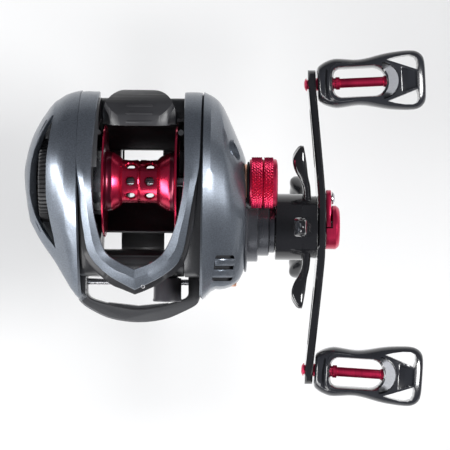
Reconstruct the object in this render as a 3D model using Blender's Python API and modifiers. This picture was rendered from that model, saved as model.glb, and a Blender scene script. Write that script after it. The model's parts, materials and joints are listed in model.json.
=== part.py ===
"""Low-profile baitcasting reel, right-hand handle.

The origin is the middle of the underside of the reel foot. +X points to the handle side, +Y to the
rear, towards the angler, and +Z up, away from the rod. Dimensions below are in millimetres and turn
into metres where a mesh is made.
"""

import math
from collections import namedtuple

import bmesh
import bpy
from mathutils import Matrix, Vector

MM = 0.001

# Axes parallel to X, as (y, z)
SPOOL_AXIS = (0.0, 27.0)
DRIVE_AXIS = (-13.6, 16.0)
WORM_AXIS = (-25.5, 12.5)
ROD_AXIS = (-31.7, 6.5)

# Gears
DRIVE_TEETH, PINION_TEETH = 63, 10
LEVEL_TEETH, WORM_TEETH = 24, 17

# Frame, seen from above
RING_LEFT, RING_LEFT_INNER = -17.6, -12.2
RING_RIGHT_INNER, WALL_RIGHT, RING_RIGHT = 14.2, 16.2, 19.5
CRADLE_RADIUS = 18.6
FLANGE_RADIUS = 17.3

# Handle: from the drive axis to a knob post, and how far the posts and knobs lean outwards,
# in degrees, because they stand square on the arm's bowed ends
POST_REACH = 45.0
POST_X = 53.4
KNOB_SPLAY = 3.2
KNOB_START = 55.3

# Level wind
GUIDE_X, GUIDE_Z = 8.6, 14.0
EYE_RADIUS = 3.0

# Side plates, and screws as (y, z) or, under the foot, as y
SHELL_WALL = 1.6
PLATE_SCREW = (9.5, 34.0)
OIL_PORT = (-30.3, 17.0)
HOOD_SCREW = (1.6, -31.9)
FOOT_MIDDLE_X = 0.15
FOOT_SCREWS_Y = (-9.0, 18.0)

# Clutch
YOKE_POST_DISTANCE = 8.5

Station = namedtuple("Station", "x rear front top bottom")


# ---------------------------------------------------------------------------------------------
# Scene, collections and materials
# ---------------------------------------------------------------------------------------------
for old in list(bpy.data.objects):
    bpy.data.objects.remove(old, do_unlink=True)

PARTS = bpy.data.collections.new("baitcasting_reel")
CUTTERS = bpy.data.collections.new("cutters")
bpy.context.scene.collection.children.link(PARTS)
bpy.context.scene.collection.children.link(CUTTERS)


def finish(name, color, roughness, metallic):
    made = bpy.data.materials.new(name)
    made.use_nodes = True
    shader = made.node_tree.nodes["Principled BSDF"]
    shader.inputs["Base Color"].default_value = (*color, 1.0)
    shader.inputs["Roughness"].default_value = roughness
    shader.inputs["Metallic"].default_value = metallic
    made.diffuse_color = (*color, 1.0)
    return made


SLATE = finish("slate_metallic_paint", (0.105, 0.125, 0.155), 0.32, 0.75)
DARK_FRAME = finish("dark_frame_paint", (0.035, 0.036, 0.039), 0.45, 0.4)
CHARCOAL = finish("charcoal_plastic", (0.040, 0.040, 0.044), 0.42, 0.0)
GLOSS_BLACK = finish("gloss_black", (0.015, 0.015, 0.017), 0.18, 0.0)
BLACK_PLASTIC = finish("black_plastic", (0.020, 0.020, 0.022), 0.50, 0.0)
RED_METAL = finish("red_anodised", (0.42, 0.012, 0.050), 0.25, 0.9)
STEEL = finish("steel", (0.62, 0.62, 0.64), 0.28, 1.0)
BRASS = finish("brass", (0.62, 0.42, 0.16), 0.30, 1.0)
COPPER = finish("copper", (0.66, 0.38, 0.24), 0.30, 1.0)
CARBON = finish("carbon_fibre", (0.03, 0.03, 0.03), 0.60, 0.0)
RUBBER = finish("black_rubber", (0.015, 0.015, 0.015), 0.70, 0.0)
CERAMIC = finish("ceramic", (0.10, 0.10, 0.11), 0.15, 0.0)
MAGNET = finish("magnet_nickel", (0.55, 0.55, 0.56), 0.22, 1.0)


# ---------------------------------------------------------------------------------------------
# Modelling helpers
# ---------------------------------------------------------------------------------------------
def joint_empty(name, y=0.0, z=0.0, x=0.0):
    """An empty on a joint's axis. Its children keep their own world places."""
    empty = bpy.data.objects.new(name, None)
    empty.empty_display_size = 0.005
    empty.location = (x * MM, y * MM, z * MM)
    PARTS.objects.link(empty)
    return empty


def place(obj, mat, body=None):
    """Link a finished part, give it its material and hang it on its body's empty."""
    obj.data.materials.append(mat)
    PARTS.objects.link(obj)
    if body is not None:
        obj.parent = body
        obj.matrix_parent_inverse = Matrix.Translation(body.location).inverted()
    return obj


def helper(obj):
    """Link a shape that only cuts or joins others."""
    obj.hide_render = True
    obj.display_type = "WIRE"
    CUTTERS.objects.link(obj)
    return obj


def combine(target, other, operation, solver="EXACT"):
    helper(other)
    modifier = target.modifiers.new(operation.title(), "BOOLEAN")
    modifier.operation = operation
    modifier.solver = solver
    modifier.object = other
    return target


def cut(target, *others, solver="EXACT"):
    for other in others:
        combine(target, other, "DIFFERENCE", solver)
    return target


def join(target, *others, solver="EXACT"):
    for other in others:
        combine(target, other, "UNION", solver)
    return target


AXES = {
    "X": (Vector((1, 0, 0)), Vector((0, 1, 0)), Vector((0, 0, 1)), (0, math.pi / 2, 0)),
    "Y": (Vector((0, 1, 0)), Vector((1, 0, 0)), Vector((0, 0, 1)), (-math.pi / 2, 0, 0)),
    "Z": (Vector((0, 0, 1)), Vector((1, 0, 0)), Vector((0, 1, 0)), (0, 0, 0)),
}


def turned(name, profile, centre, along="X", steps=24):
    """A solid of revolution. The profile is (place along the axis, radius) pairs, and centre is
    the axis's two other coordinates. A profile that touches the axis is left open there."""
    axis, first, second, rotation = AXES[along]
    points = [(radius, height) for height, radius in profile]
    pairs = zip(points, points[1:] + points[:1])
    area = sum(a[0] * b[1] - b[0] * a[1] for a, b in pairs)
    if area > 0:
        points.reverse()
    touches = min(radius for radius, _ in points) <= 0
    if touches:
        while not (points[0][0] <= 0 and points[-1][0] <= 0):
            points = points[1:] + points[:1]
    edges = [(i, i + 1) for i in range(len(points) - 1)]
    if not touches:
        edges.append((len(points) - 1, 0))
    mesh = bpy.data.meshes.new(name)
    mesh.from_pydata([(radius * MM, 0, height * MM) for radius, height in points], edges, [])
    obj = bpy.data.objects.new(name, mesh)
    obj.rotation_euler = rotation
    obj.location = (first * centre[0] + second * centre[1]) * MM
    screw = obj.modifiers.new("Turn", "SCREW")
    screw.axis = "Z"
    screw.angle = math.tau
    screw.steps = steps
    screw.render_steps = steps
    screw.use_merge_vertices = True
    screw.merge_threshold = 0.000001
    screw.use_smooth_shade = True
    return obj


def drum(name, low, high, radius, centre, along="X", steps=14):
    return turned(name, [(low, 0), (low, radius), (high, radius), (high, 0)], centre, along, steps)


def tube(name, low, high, outer, inner, centre, along="X", steps=16):
    profile = [(low, inner), (low, outer), (high, outer), (high, inner)]
    return turned(name, profile, centre, along, steps)


def mesh_object(name, bm):
    bmesh.ops.recalc_face_normals(bm, faces=bm.faces)
    mesh = bpy.data.meshes.new(name)
    bm.to_mesh(mesh)
    bm.free()
    return bpy.data.objects.new(name, mesh)


def prism(name, outline, low, high, along="X"):
    """A flat outline extruded along an axis. Its points are the two other coordinates."""
    axis, first, second, _ = AXES[along]
    bm = bmesh.new()
    corners = [bm.verts.new((first * a + second * b + axis * low) * MM) for a, b in outline]
    face = bm.faces.new(corners)
    made = bmesh.ops.extrude_face_region(bm, geom=[face])
    moved = [item for item in made["geom"] if isinstance(item, bmesh.types.BMVert)]
    bmesh.ops.translate(bm, verts=moved, vec=axis * (high - low) * MM)
    return mesh_object(name, bm)


def box(name, x, y, z):
    """A block between two x, two y and two z."""
    bm = bmesh.new()
    middle = Vector((sum(x), sum(y), sum(z))) / 2 * MM
    size = Vector((x[1] - x[0], y[1] - y[0], z[1] - z[0])) * MM
    matrix = Matrix.Translation(middle) @ Matrix.Diagonal((*size, 1.0))
    bmesh.ops.create_cube(bm, size=1.0, matrix=matrix)
    return mesh_object(name, bm)


def loft(name, rings):
    """A skin over rings of points, closed by a flat face at each end."""
    bm = bmesh.new()
    rows = [[bm.verts.new(Vector(point) * MM) for point in ring] for ring in rings]
    count = len(rows[0])
    for row, after in zip(rows, rows[1:]):
        for i in range(count):
            j = (i + 1) % count
            bm.faces.new((row[i], row[j], after[j], after[i]))
    bm.faces.new(rows[0])
    bm.faces.new(rows[-1])
    return mesh_object(name, bm)


def arc(centre, radius, start, end, steps):
    """Points on a circle from one angle to another, in degrees."""
    turn = [math.radians(start + (end - start) * i / steps) for i in range(steps + 1)]
    return [(centre[0] + radius * math.cos(t), centre[1] + radius * math.sin(t)) for t in turn]


def capsule(centre, direction, reach, radius, steps=5):
    """A slot outline: two half circles whose middles lie reach either way along direction."""
    angle = math.degrees(math.atan2(direction[1], direction[0]))
    ends = []
    for sign, start in ((1, -90), (-1, 90)):
        middle = (centre[0] + sign * reach * direction[0], centre[1] + sign * reach * direction[1])
        ends += arc(middle, radius, angle + start, angle + start + 180, steps)
    return ends


# ---------------------------------------------------------------------------------------------
# The reel's side-view outline, shared by frame, hood and side plates
# ---------------------------------------------------------------------------------------------
REAR_SHARE = 0.398
NOSE_DROP = 0.4
NOSE_POWER = 1.2
HOOD_DROP = 0.2


def teardrop(rear, front, top, bottom, steps=26, start=0.0, end=360.0, drop=NOSE_DROP):
    """Side outline (y, z): a half ellipse behind and a lowered, fuller nose in front. The angle
    runs from the rear over the top and round the nose."""
    middle = rear - REAR_SHARE * (rear - front)
    height = (top - bottom) / 2
    points = []
    whole = end - start >= 360
    for i in range(steps if whole else steps + 1):
        t = math.radians(start + (end - start) * i / steps)
        c, s = math.cos(t), math.sin(t)
        if c >= 0:
            y, z = middle + (rear - middle) * c, height * s
        else:
            y = middle + (middle - front) * c
            z = height * math.copysign(abs(s) ** NOSE_POWER, s) - drop * height * c * c
        points.append((y, (top + bottom) / 2 + z))
    return points


def station_ring(station, inset=0.0, shift=0.0):
    outline = teardrop(
        station.rear - inset,
        station.front + inset,
        station.top - inset,
        station.bottom + inset,
    )
    return [(station.x + shift, y, z) for y, z in outline]


def side_shell(name, stations, outward):
    """A hollow cover lofted over side-view outlines, from its open rim to its closed outer end.
    outward is the sign of X that the cover faces. The inner skin starts level with the rim and
    draws back from the outer one until the end wall has its full thickness."""
    outer = [station_ring(s) for s in stations]
    last = len(stations) - 1
    inner = [
        station_ring(s, SHELL_WALL, -outward * SHELL_WALL * min(1.0, 2.0 * i / last))
        for i, s in enumerate(stations)
    ]
    bm = bmesh.new()
    rows = [[bm.verts.new(Vector(p) * MM) for p in ring] for ring in outer + inner[::-1]]
    count = len(rows[0])
    for k in range(len(rows)):
        if k == last:
            continue
        row, after = rows[k], rows[(k + 1) % len(rows)]
        for i in range(count):
            j = (i + 1) % count
            bm.faces.new((row[i], row[j], after[j], after[i]))
    bm.faces.new(rows[last])
    bm.faces.new(rows[last + 1])
    return mesh_object(name, bm)


# ---------------------------------------------------------------------------------------------
# Frame
# ---------------------------------------------------------------------------------------------
def frame_ring():
    return teardrop(26.1, -29.9, 45.1, 0.4)


def front_bar():
    """The U-shaped bar in front, with the two arms that reach back to the rings."""
    outline = [
        (-20.3, -22.0), (-20.3, -37.6), (-15.0, -41.0), (-8.6, -43.6), (-0.9, -44.6),
        (7.4, -43.6), (13.8, -41.0), (18.9, -38.0), (18.9, -22.0), (15.0, -22.0),
        (15.4, -35.0), (13.2, -37.2), (5.8, -39.4), (-0.9, -40.2), (-7.0, -39.1),
        (-15.0, -37.2), (-17.2, -35.0), (-17.2, -28.0), (-14.5, -26.0), (-14.5, -22.0),
    ]
    return prism("front_bar", outline, 2.0, 9.2, "Z")


def cradle_front():
    under = arc(SPOOL_AXIS, CRADLE_RADIUS, 214.0, 279.3, 7)
    return prism("cradle_front", under + [(3.0, 3.3), (-12.0, 3.3), (-15.0, 9.0), (-16.0, 15.8)],
                 RING_LEFT_INNER - 1.5, RING_RIGHT_INNER + 1.0)


def cradle_rear():
    behind = arc(SPOOL_AXIS, CRADLE_RADIUS, -58.6, 3.0, 7)
    rest = [(20.5, 28.0), (25.6, 24.8), (25.9, 18.0), (24.5, 9.0), (20.5, 3.3), (14.0, 3.3),
            (9.7, 6.5)]
    return prism("cradle_rear", behind + rest, RING_LEFT_INNER - 1.5, RING_RIGHT_INNER + 1.0)


def build_frame():
    ring = frame_ring()
    frame = prism("frame", ring, RING_LEFT, RING_LEFT_INNER)
    right = prism("right_wall", ring, RING_RIGHT_INNER, RING_RIGHT)
    join(frame, right, cradle_front(), cradle_rear(), front_bar())
    spool_bore = drum("spool_bore", -19.0, -11.0, 18.5, SPOOL_AXIS, steps=32)
    gear_room = prism("gear_room", teardrop(24.1, -27.9, 43.1, 2.4), WALL_RIGHT, 22.0)
    cog_room = drum("cog_room", 18.0, 22.0, 5.9, WORM_AXIS)
    pinion_hole = drum("pinion_hole", 12.0, 17.5, 3.6, SPOOL_AXIS)
    worm_hole = drum("worm_hole", -19.0, 18.2, 3.3, WORM_AXIS)
    rod_hole = drum("rod_hole", -19.6, 18.1, 1.3, ROD_AXIS, steps=12)
    tab_slot = box("tab_slot", (13.0, 17.5), (18.6, 21.8), (28.7, 34.8))
    cut(frame, spool_bore, gear_room, cog_room, pinion_hole, worm_hole, rod_hole, tab_slot)
    for y in FOOT_SCREWS_Y:
        cut(frame, drum("screw_hole", 2.0, 7.2, 1.4, (FOOT_MIDDLE_X, y), "Z", 12))
    place(frame, DARK_FRAME)


def build_foot():
    side = [(-28.0, 0.0), (28.0, 0.0), (28.0, 0.9), (18.5, 3.0), (-18.5, 3.0), (-28.0, 0.9)]
    foot = prism("reel_foot", side, -6.8, 7.1)
    plan = [(-6.9, -25.5), (-4.5, -28.1), (4.8, -28.1), (7.2, -25.5),
            (7.2, 25.5), (4.8, 28.1), (-4.5, 28.1), (-6.9, 25.5)]
    combine(foot, prism("foot_plan", plan, -1.0, 4.0, "Z"), "INTERSECT")
    cut(foot, box("foot_slot", (-5.0, 5.3), (4.8, 13.2), (-2.0, 5.0)))
    for y in FOOT_SCREWS_Y:
        centre = (FOOT_MIDDLE_X, y)
        cut(foot, drum("foot_hole", -2.0, 5.0, 1.4, centre, "Z", 12))
        cut(foot, drum("foot_counterbore", -2.0, 1.7, 2.5, centre, "Z", 16))
    place(foot, BLACK_PLASTIC)
    for name, y in zip(("foot_screw_front", "foot_screw_rear"), FOOT_SCREWS_Y):
        profile = [(0.2, 0), (0.2, 2.1), (1.3, 2.1), (1.4, 1.05), (6.7, 1.05), (6.7, 0)]
        place(turned(name, profile, (FOOT_MIDDLE_X, y), "Z", 16), STEEL)


# ---------------------------------------------------------------------------------------------
# Hood and the cover under its nose
# ---------------------------------------------------------------------------------------------
def strap(name, inset, thickness, low, high, start, end):
    """A band that follows the reel's side outline from the rear, over the top, to the nose."""
    edges = []
    for depth in (inset, inset + thickness):
        edges.append(teardrop(28.1 - depth, -34.6 + depth, 47.0 - depth, -1.5 + depth, 18,
                              start, end, HOOD_DROP))
    outer, inner = edges
    return prism(name, outer + inner[::-1], low, high)


def build_hood():
    hood = strap("hood", 0.0, 1.6, RING_LEFT, RING_RIGHT, 5.0, 172.0)
    plan = [
        (-17.7, 30.0), (-17.7, -6.0), (-16.7, -17.8), (-15.9, -24.0), (-13.7, -26.8),
        (-9.2, -30.0), (-4.7, -32.3), (-0.9, -33.7), (3.2, -32.3), (7.9, -30.0),
        (12.0, -26.8), (14.3, -23.0), (15.3, -17.8), (16.6, -11.0), (19.6, 4.0), (19.6, 30.0),
        (14.2, 30.0), (14.2, 4.5), (13.4, -5.7), (12.1, -11.7), (10.3, -17.1),
        (8.2, -21.5), (5.0, -24.2), (-0.9, -26.8), (-5.7, -24.6), (-9.5, -21.8),
        (-11.3, -17.1), (-12.6, -11.7), (-13.4, -4.2), (-13.6, 4.8), (-13.1, 15.3),
        (-12.4, 30.0),
    ]
    combine(hood, prism("hood_plan", plan, 12.0, 60.0, "Z"), "INTERSECT")
    cut(hood, drum("hood_screw_hole", 14.0, 30.0, 0.8, HOOD_SCREW, "Z", 12))
    place(hood, SLATE)

    cover = strap("nose_cover", 1.9, 1.4, RING_LEFT, RING_RIGHT, 120.0, 176.0)
    cover_plan = [
        (-17.5, -18.5), (-16.2, -26.0), (-13.5, -29.0), (-9.0, -32.0), (-4.6, -34.2),
        (-0.9, -35.6), (3.2, -34.4), (7.9, -32.0), (12.3, -28.6), (14.6, -25.0),
        (16.0, -18.5), (12.0, -18.5), (9.0, -23.0), (5.0, -26.0), (-0.9, -28.6),
        (-5.7, -26.4), (-10.0, -23.4), (-13.0, -18.5),
    ]
    combine(cover, prism("cover_plan", cover_plan, 5.0, 60.0, "Z"), "INTERSECT")
    cut(cover, drum("cover_screw_hole", 14.0, 30.0, 0.8, HOOD_SCREW, "Z", 12))
    place(cover, DARK_FRAME)
    place(drum("hood_screw", 21.6, 26.2, 0.5, HOOD_SCREW, "Z", 10), STEEL)


# ---------------------------------------------------------------------------------------------
# Palm side plate and what it carries
# ---------------------------------------------------------------------------------------------
PALM = [
    Station(-17.9, 28.4, -38.0, 47.0, -3.4),
    Station(-20.5, 27.9, -35.2, 46.6, -2.6),
    Station(-23.0, 27.0, -31.0, 46.0, -1.2),
    Station(-25.0, 25.6, -27.5, 45.0, 1.4),
    Station(-27.0, 24.0, -24.3, 43.8, 4.0),
    Station(-30.0, 19.6, -20.0, 40.8, 9.2),
    Station(-32.0, 16.0, -16.2, 38.4, 12.8),
    Station(-33.8, 11.6, -12.4, 35.4, 16.6),
    Station(-35.2, 5.3, -3.4, 31.2, 22.2),
]


def build_palm_side(body):
    plate = side_shell("palm_side_plate", PALM, -1)
    stud = drum("dial_stud", -34.4, -26.6, 2.0, SPOOL_AXIS)
    left_edge = arc((11.2, -1.4), 42.6, 149.6, 210.4, 8)
    right_edge = arc((70.0, -1.4), 97.6, 192.8, 167.2, 4)
    window = prism("dial_window", left_edge + right_edge[1:-1], 33.0, 60.0, "Z")
    arm_notch = box("arm_notch", (-20.7, -15.0), (-50.0, -21.0), (-5.0, 9.6))
    dial_room = drum("dial_room", -30.6, -27.0, 13.3, SPOOL_AXIS, steps=32)
    cut(plate, window, arm_notch, dial_room)
    join(plate, stud)
    place(plate, SLATE, body)

    profile = [
        (-20.4, 4.1), (-20.4, 5.3), (-19.0, 5.3), (-19.0, 17.7), (-13.3, 17.7), (-13.3, 16.2),
        (-17.6, 16.2), (-17.6, 5.3), (-15.2, 5.3), (-15.2, 2.2), (-17.3, 2.2), (-17.3, 4.1),
    ]
    place(turned("brake_housing", profile, SPOOL_AXIS, steps=20), BLACK_PLASTIC, body)
    place(tube("spool_bearing_left", -20.1, -17.6, 3.8, 1.5, SPOOL_AXIS), STEEL, body)


def build_dial(body):
    ribs = 36
    outline = []
    for i in range(2 * ribs):
        radius = 12.9 if i % 2 else 12.3
        outline += arc(SPOOL_AXIS, radius, 180.0 * i / ribs, 180.0 * i / ribs, 1)[:1]
    dial = prism("brake_dial", outline, -30.3, -27.3)
    join(dial, drum("dial_hub", -28.0, -23.8, 5.0, SPOOL_AXIS))
    cut(dial, drum("dial_bore", -31.0, -22.0, 2.4, SPOOL_AXIS))
    place(dial, BLACK_PLASTIC, body)


def build_magnets(body):
    profile = [(-17.2, 5.9), (-17.2, 9.2), (-15.6, 9.2), (-15.6, 5.9)]
    place(turned("magnet_holder", profile, SPOOL_AXIS, steps=16), BLACK_PLASTIC, body)
    place(tube("brake_magnet", -15.3, -13.0, 9.0, 6.4, SPOOL_AXIS, steps=16), MAGNET, body)


# ---------------------------------------------------------------------------------------------
# Spool
# ---------------------------------------------------------------------------------------------
def build_spool(body):
    profile = [
        (-10.9, FLANGE_RADIUS), (-10.2, FLANGE_RADIUS), (-9.4, 13.5), (-8.3, 8.8), (-5.4, 6.7),
        (-0.5, 6.7), (0.0, 6.3), (0.5, 6.7), (5.8, 6.7), (8.6, 8.8), (10.3, 13.5),
        (11.2, FLANGE_RADIUS), (11.9, FLANGE_RADIUS), (11.2, 13.3), (9.5, 8.4), (9.0, 7.6),
        (9.0, 1.9), (7.8, 1.9), (7.8, 7.2), (5.6, 5.8), (-5.2, 5.8), (-9.0, 8.6),
        (-10.2, 13.4),
    ]
    spool = turned("spool", profile, SPOOL_AXIS, steps=28)
    for x in (-2.6, 3.3):
        for turn in range(4):
            port = drum("spool_port", -12.0, 12.0, 1.35, (0, 0), "Z", 8)
            port.location = (x * MM, SPOOL_AXIS[0] * MM, SPOOL_AXIS[1] * MM)
            port.rotation_euler = (math.radians(45 * turn), 0, 0)
            cut(spool, port)
    place(spool, RED_METAL, body)

    profile = [(-20.3, 0), (-20.3, 1.2), (-15.0, 1.2), (-14.4, 1.6), (14.0, 1.6), (14.4, 1.0),
               (39.2, 1.0), (39.2, 0)]
    shaft = turned("spool_shaft", profile, SPOOL_AXIS, steps=16)
    pin = drum("cross_pin", SPOOL_AXIS[1] - 2.7, SPOOL_AXIS[1] + 2.7, 0.45, (17.7, 0.0), "Z", 8)
    join(shaft, pin)
    place(shaft, STEEL, body)

    profile = [(-14.4, 9.7), (-14.4, 10.5), (-11.0, 10.5), (-11.0, 1.9), (-11.9, 1.9),
               (-11.9, 9.7)]
    place(turned("brake_rotor", profile, SPOOL_AXIS, steps=18), STEEL, body)


# ---------------------------------------------------------------------------------------------
# Handle side plate and the bearings, collar and rings it carries
# ---------------------------------------------------------------------------------------------
HANDLE_SIDE = [
    Station(19.8, 28.2, -37.0, 47.0, -3.4),
    Station(23.0, 26.6, -33.9, 45.9, -3.3),
    Station(25.4, 24.2, -33.7, 44.4, -2.9),
    Station(27.8, 19.5, -33.2, 42.0, -2.2),
    Station(30.3, 13.9, -31.8, 38.9, -1.0),
    Station(31.8, 10.4, -29.6, 36.8, 0.2),
    Station(32.5, 8.4, -27.8, 35.6, 0.9),
]


def build_handle_side():
    plate = side_shell("handle_side_plate", HANDLE_SIDE, 1)
    cap_boss = drum("cap_boss", 30.0, 38.6, 4.65, SPOOL_AXIS)
    drive_boss = drum("drive_boss", 29.4, 32.0, 8.6, DRIVE_AXIS)
    screw_boss = drum("screw_boss", 23.4, 29.6, 3.6, PLATE_SCREW)
    join(plate, cap_boss, drive_boss, screw_boss, solver="MANIFOLD")
    cut(
        plate,
        drum("cap_bore", 33.6, 40.0, 4.1, SPOOL_AXIS),
        drum("shaft_bore", 28.0, 35.0, 2.2, SPOOL_AXIS),
        drum("drive_bore", 28.0, 35.0, 6.7, DRIVE_AXIS),
        drum("screw_recess", 26.0, 36.0, 2.9, PLATE_SCREW),
        drum("screw_bore", 22.0, 27.0, 1.5, PLATE_SCREW),
        drum("port_recess", 22.0, 40.0, 2.6, OIL_PORT),
        solver="MANIFOLD",
    )
    for y in (-22.6, -26.2):
        vent = box("vent_slot", (24.6, 29.2), (y - 0.7, y + 0.7), (20.0, 40.0))
        cut(plate, vent, solver="MANIFOLD")
    place(plate, SLATE)

    profile = [(24.6, 0), (24.6, 1.2), (26.2, 1.2), (26.3, 2.4), (27.8, 2.4), (27.8, 0)]
    place(turned("side_plate_screw", profile, PLATE_SCREW, steps=16), STEEL)
    profile = [(24.2, 0), (24.2, 1.6), (27.6, 1.6), (27.6, 2.2), (30.4, 2.2), (30.4, 0)]
    place(turned("oil_port_screw", profile, OIL_PORT, steps=16), COPPER)

    place(tube("spool_bearing_right", 34.0, 36.4, 3.8, 1.3, SPOOL_AXIS), STEEL)
    place(tube("cap_copper_ring", 32.9, 33.5, 5.7, 4.95, SPOOL_AXIS), COPPER)
    place(tube("cap_rubber_ring", 33.8, 34.6, 6.5, 4.95, SPOOL_AXIS), RUBBER)

    profile = [
        (32.8, 14.4), (33.4, 14.4), (33.7, 11.1), (36.9, 11.1), (36.9, 9.2), (40.4, 9.2),
        (40.4, 8.2), (42.3, 8.2), (42.3, 4.3), (40.6, 4.3), (40.6, 6.8), (32.8, 6.8),
    ]
    collar = turned("drive_collar", profile, DRIVE_AXIS, steps=20)
    cut(collar, drum("cap_clearance", 31.0, 44.0, 8.3, SPOOL_AXIS, steps=20))
    place(collar, GLOSS_BLACK)
    place(tube("anti_reverse_clutch", 33.6, 40.2, 6.4, 3.95, DRIVE_AXIS, steps=20), STEEL)
    place(tube("drive_bearing_outer", 29.6, 32.4, 6.3, 3.95, DRIVE_AXIS, steps=20), STEEL)
    place(tube("drive_bearing_inner", 16.5, 18.1, 3.6, 2.3, DRIVE_AXIS), STEEL)


def build_cast_cap(body):
    profile = [
        (34.9, 5.0), (34.9, 7.1), (35.3, 7.1), (35.4, 7.9), (38.4, 7.9), (38.9, 7.3),
        (39.4, 7.9), (41.4, 7.9), (41.5, 7.2), (41.9, 7.2), (42.4, 6.2), (42.4, 0), (40.9, 0),
        (40.9, 5.0),
    ]
    place(turned("cast_control_cap", profile, SPOOL_AXIS, steps=20), RED_METAL, body)


# ---------------------------------------------------------------------------------------------
# Gears
# ---------------------------------------------------------------------------------------------
def gear_outline(teeth, pitch_radius, centre, tooth_at):
    """Straight-flanked teeth, with one tooth's middle at tooth_at degrees."""
    module = 2 * pitch_radius / teeth
    tip, root = pitch_radius + 0.75 * module, pitch_radius - 1.05 * module
    step = 360 / teeth
    outline = []
    for tooth in range(teeth):
        middle = tooth_at + tooth * step
        for radius, share in ((root, -0.33), (tip, -0.13), (tip, 0.13), (root, 0.33)):
            angle = math.radians(middle + share * step)
            outline.append((centre[0] + radius * math.cos(angle),
                            centre[1] + radius * math.sin(angle)))
    return outline


def gear_pair(driver, driver_teeth, driven, driven_teeth):
    """Outlines of two gears in mesh: a tooth of the first points into a gap of the second."""
    reach = (driven[0] - driver[0], driven[1] - driver[1])
    distance = math.hypot(*reach)
    towards = math.degrees(math.atan2(reach[1], reach[0]))
    share = distance / (driver_teeth + driven_teeth)
    first = gear_outline(driver_teeth, driver_teeth * share, driver, towards)
    gap_at = towards + 180 + 180 / driven_teeth
    second = gear_outline(driven_teeth, driven_teeth * share, driven, gap_at)
    return first, second


DRIVE_GEAR, PINION = gear_pair(DRIVE_AXIS, DRIVE_TEETH, SPOOL_AXIS, PINION_TEETH)
LEVEL_GEAR, WORM_GEAR = gear_pair(DRIVE_AXIS, LEVEL_TEETH, WORM_AXIS, WORM_TEETH)


# ---------------------------------------------------------------------------------------------
# Drive train and handle
# ---------------------------------------------------------------------------------------------
def build_drive(body):
    profile = [(16.2, 0), (16.2, 1.95), (60.8, 1.95), (60.8, 0)]
    place(turned("drive_shaft", profile, DRIVE_AXIS, steps=20), STEEL, body)

    cog = prism("level_wind_cog", LEVEL_GEAR, 18.4, 19.6)
    cut(cog, drum("cog_bore", 17.0, 21.0, 2.3, DRIVE_AXIS))
    place(cog, BRASS, body)

    gear = prism("drive_gear", DRIVE_GEAR, 20.4, 23.6)
    cut(gear, drum("drag_recess", 21.6, 25.0, 12.6, DRIVE_AXIS, steps=20),
        drum("gear_bore", 19.0, 23.0, 2.3, DRIVE_AXIS))
    place(gear, BRASS, body)

    place(tube("drag_washer_carbon", 21.9, 22.4, 12.2, 2.6, DRIVE_AXIS, steps=18), CARBON, body)
    place(tube("drag_washer_steel", 22.7, 23.2, 12.2, 2.4, DRIVE_AXIS, steps=20), STEEL, body)
    place(tube("pressure_plate", 23.5, 24.6, 11.8, 2.4, DRIVE_AXIS, steps=20), STEEL, body)
    profile = [(24.9, 2.3), (24.9, 5.8), (25.6, 5.8), (25.6, 3.6), (42.6, 3.6), (42.6, 2.3)]
    place(turned("clutch_sleeve", profile, DRIVE_AXIS, steps=18), STEEL, body)

    place(build_handle_arm(), GLOSS_BLACK, body)
    build_handle_nut(body)
    for name, side in (("knob_post_rear", 1), ("knob_post_front", -1)):
        profile = [
            (51.1, 0), (51.3, 1.3), (51.9, 2.1), (51.9, 1.5), (54.9, 1.5), (54.9, 2.0),
            (55.5, 2.0), (55.5, 1.7), (77.6, 1.7), (77.6, 0),
        ]
        centre = (DRIVE_AXIS[0] + side * POST_REACH, DRIVE_AXIS[1])
        place(splayed(turned(name, profile, centre, steps=16), side), RED_METAL, body)


def arm_middle(reach):
    """X of the arm's mid-thickness, which bows back towards the reel at both ends."""
    hub_x, straight = 56.75, 9.0
    t = max(0.0, (abs(reach) - straight) / (POST_REACH - straight))
    return hub_x - (hub_x - POST_X) * min(1.0, t) ** 1.1


def splayed(obj, side):
    """Lean a piece of one knob outwards about the middle of its post's hole in the arm."""
    pivot = Vector((POST_X, DRIVE_AXIS[0] + side * POST_REACH, DRIVE_AXIS[1])) * MM
    lean = Matrix.Rotation(math.radians(side * KNOB_SPLAY), 4, "Z")
    turn = Matrix.Translation(pivot) @ lean @ Matrix.Translation(-pivot)
    obj.matrix_world = turn @ Matrix.LocRotScale(obj.location, obj.rotation_euler, None)
    return obj


def arm_half_width(reach):
    t = min(1.0, abs(reach) / (POST_REACH - 2.0))
    return 8.2 - 3.6 * (1 - math.cos(math.pi * t)) / 2


def build_handle_arm():
    """A bowed bar with round ends, two lightening slots, and holes for the shaft and posts."""
    half = 1.2
    end = 4.5
    reaches = [-49.5, -48.4, -46.5, -44, -38, -31, -24, -16, -9, 0]
    reaches += [-r for r in reaches[-2::-1]]
    rings = []
    for reach in reaches:
        beyond = max(0.0, abs(reach) - POST_REACH)
        width = arm_half_width(reach)
        if beyond > 0:
            width = max(0.9, math.sqrt(max(0.0, end * end - beyond * beyond)))
        x = arm_middle(reach)
        y = DRIVE_AXIS[0] + reach
        z = DRIVE_AXIS[1]
        rings.append([(x - half, y, z - width), (x + half, y, z - width),
                      (x + half, y, z + width), (x - half, y, z + width)])
    arm = loft("handle_arm", rings)
    cut(arm, drum("shaft_hole", 50.0, 62.0, 2.3, DRIVE_AXIS))
    for side in (1, -1):
        centre = (DRIVE_AXIS[0] + side * POST_REACH, DRIVE_AXIS[1])
        cut(arm, drum("post_hole", 48.0, 60.0, 1.8, centre, steps=16))
        middle = (DRIVE_AXIS[0] + side * 28.0, DRIVE_AXIS[1])
        slot = capsule(middle, (1, 0), 7.0, 2.3)
        cut(arm, prism("arm_slot", slot, 48.0, 60.0))
    return arm


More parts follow.
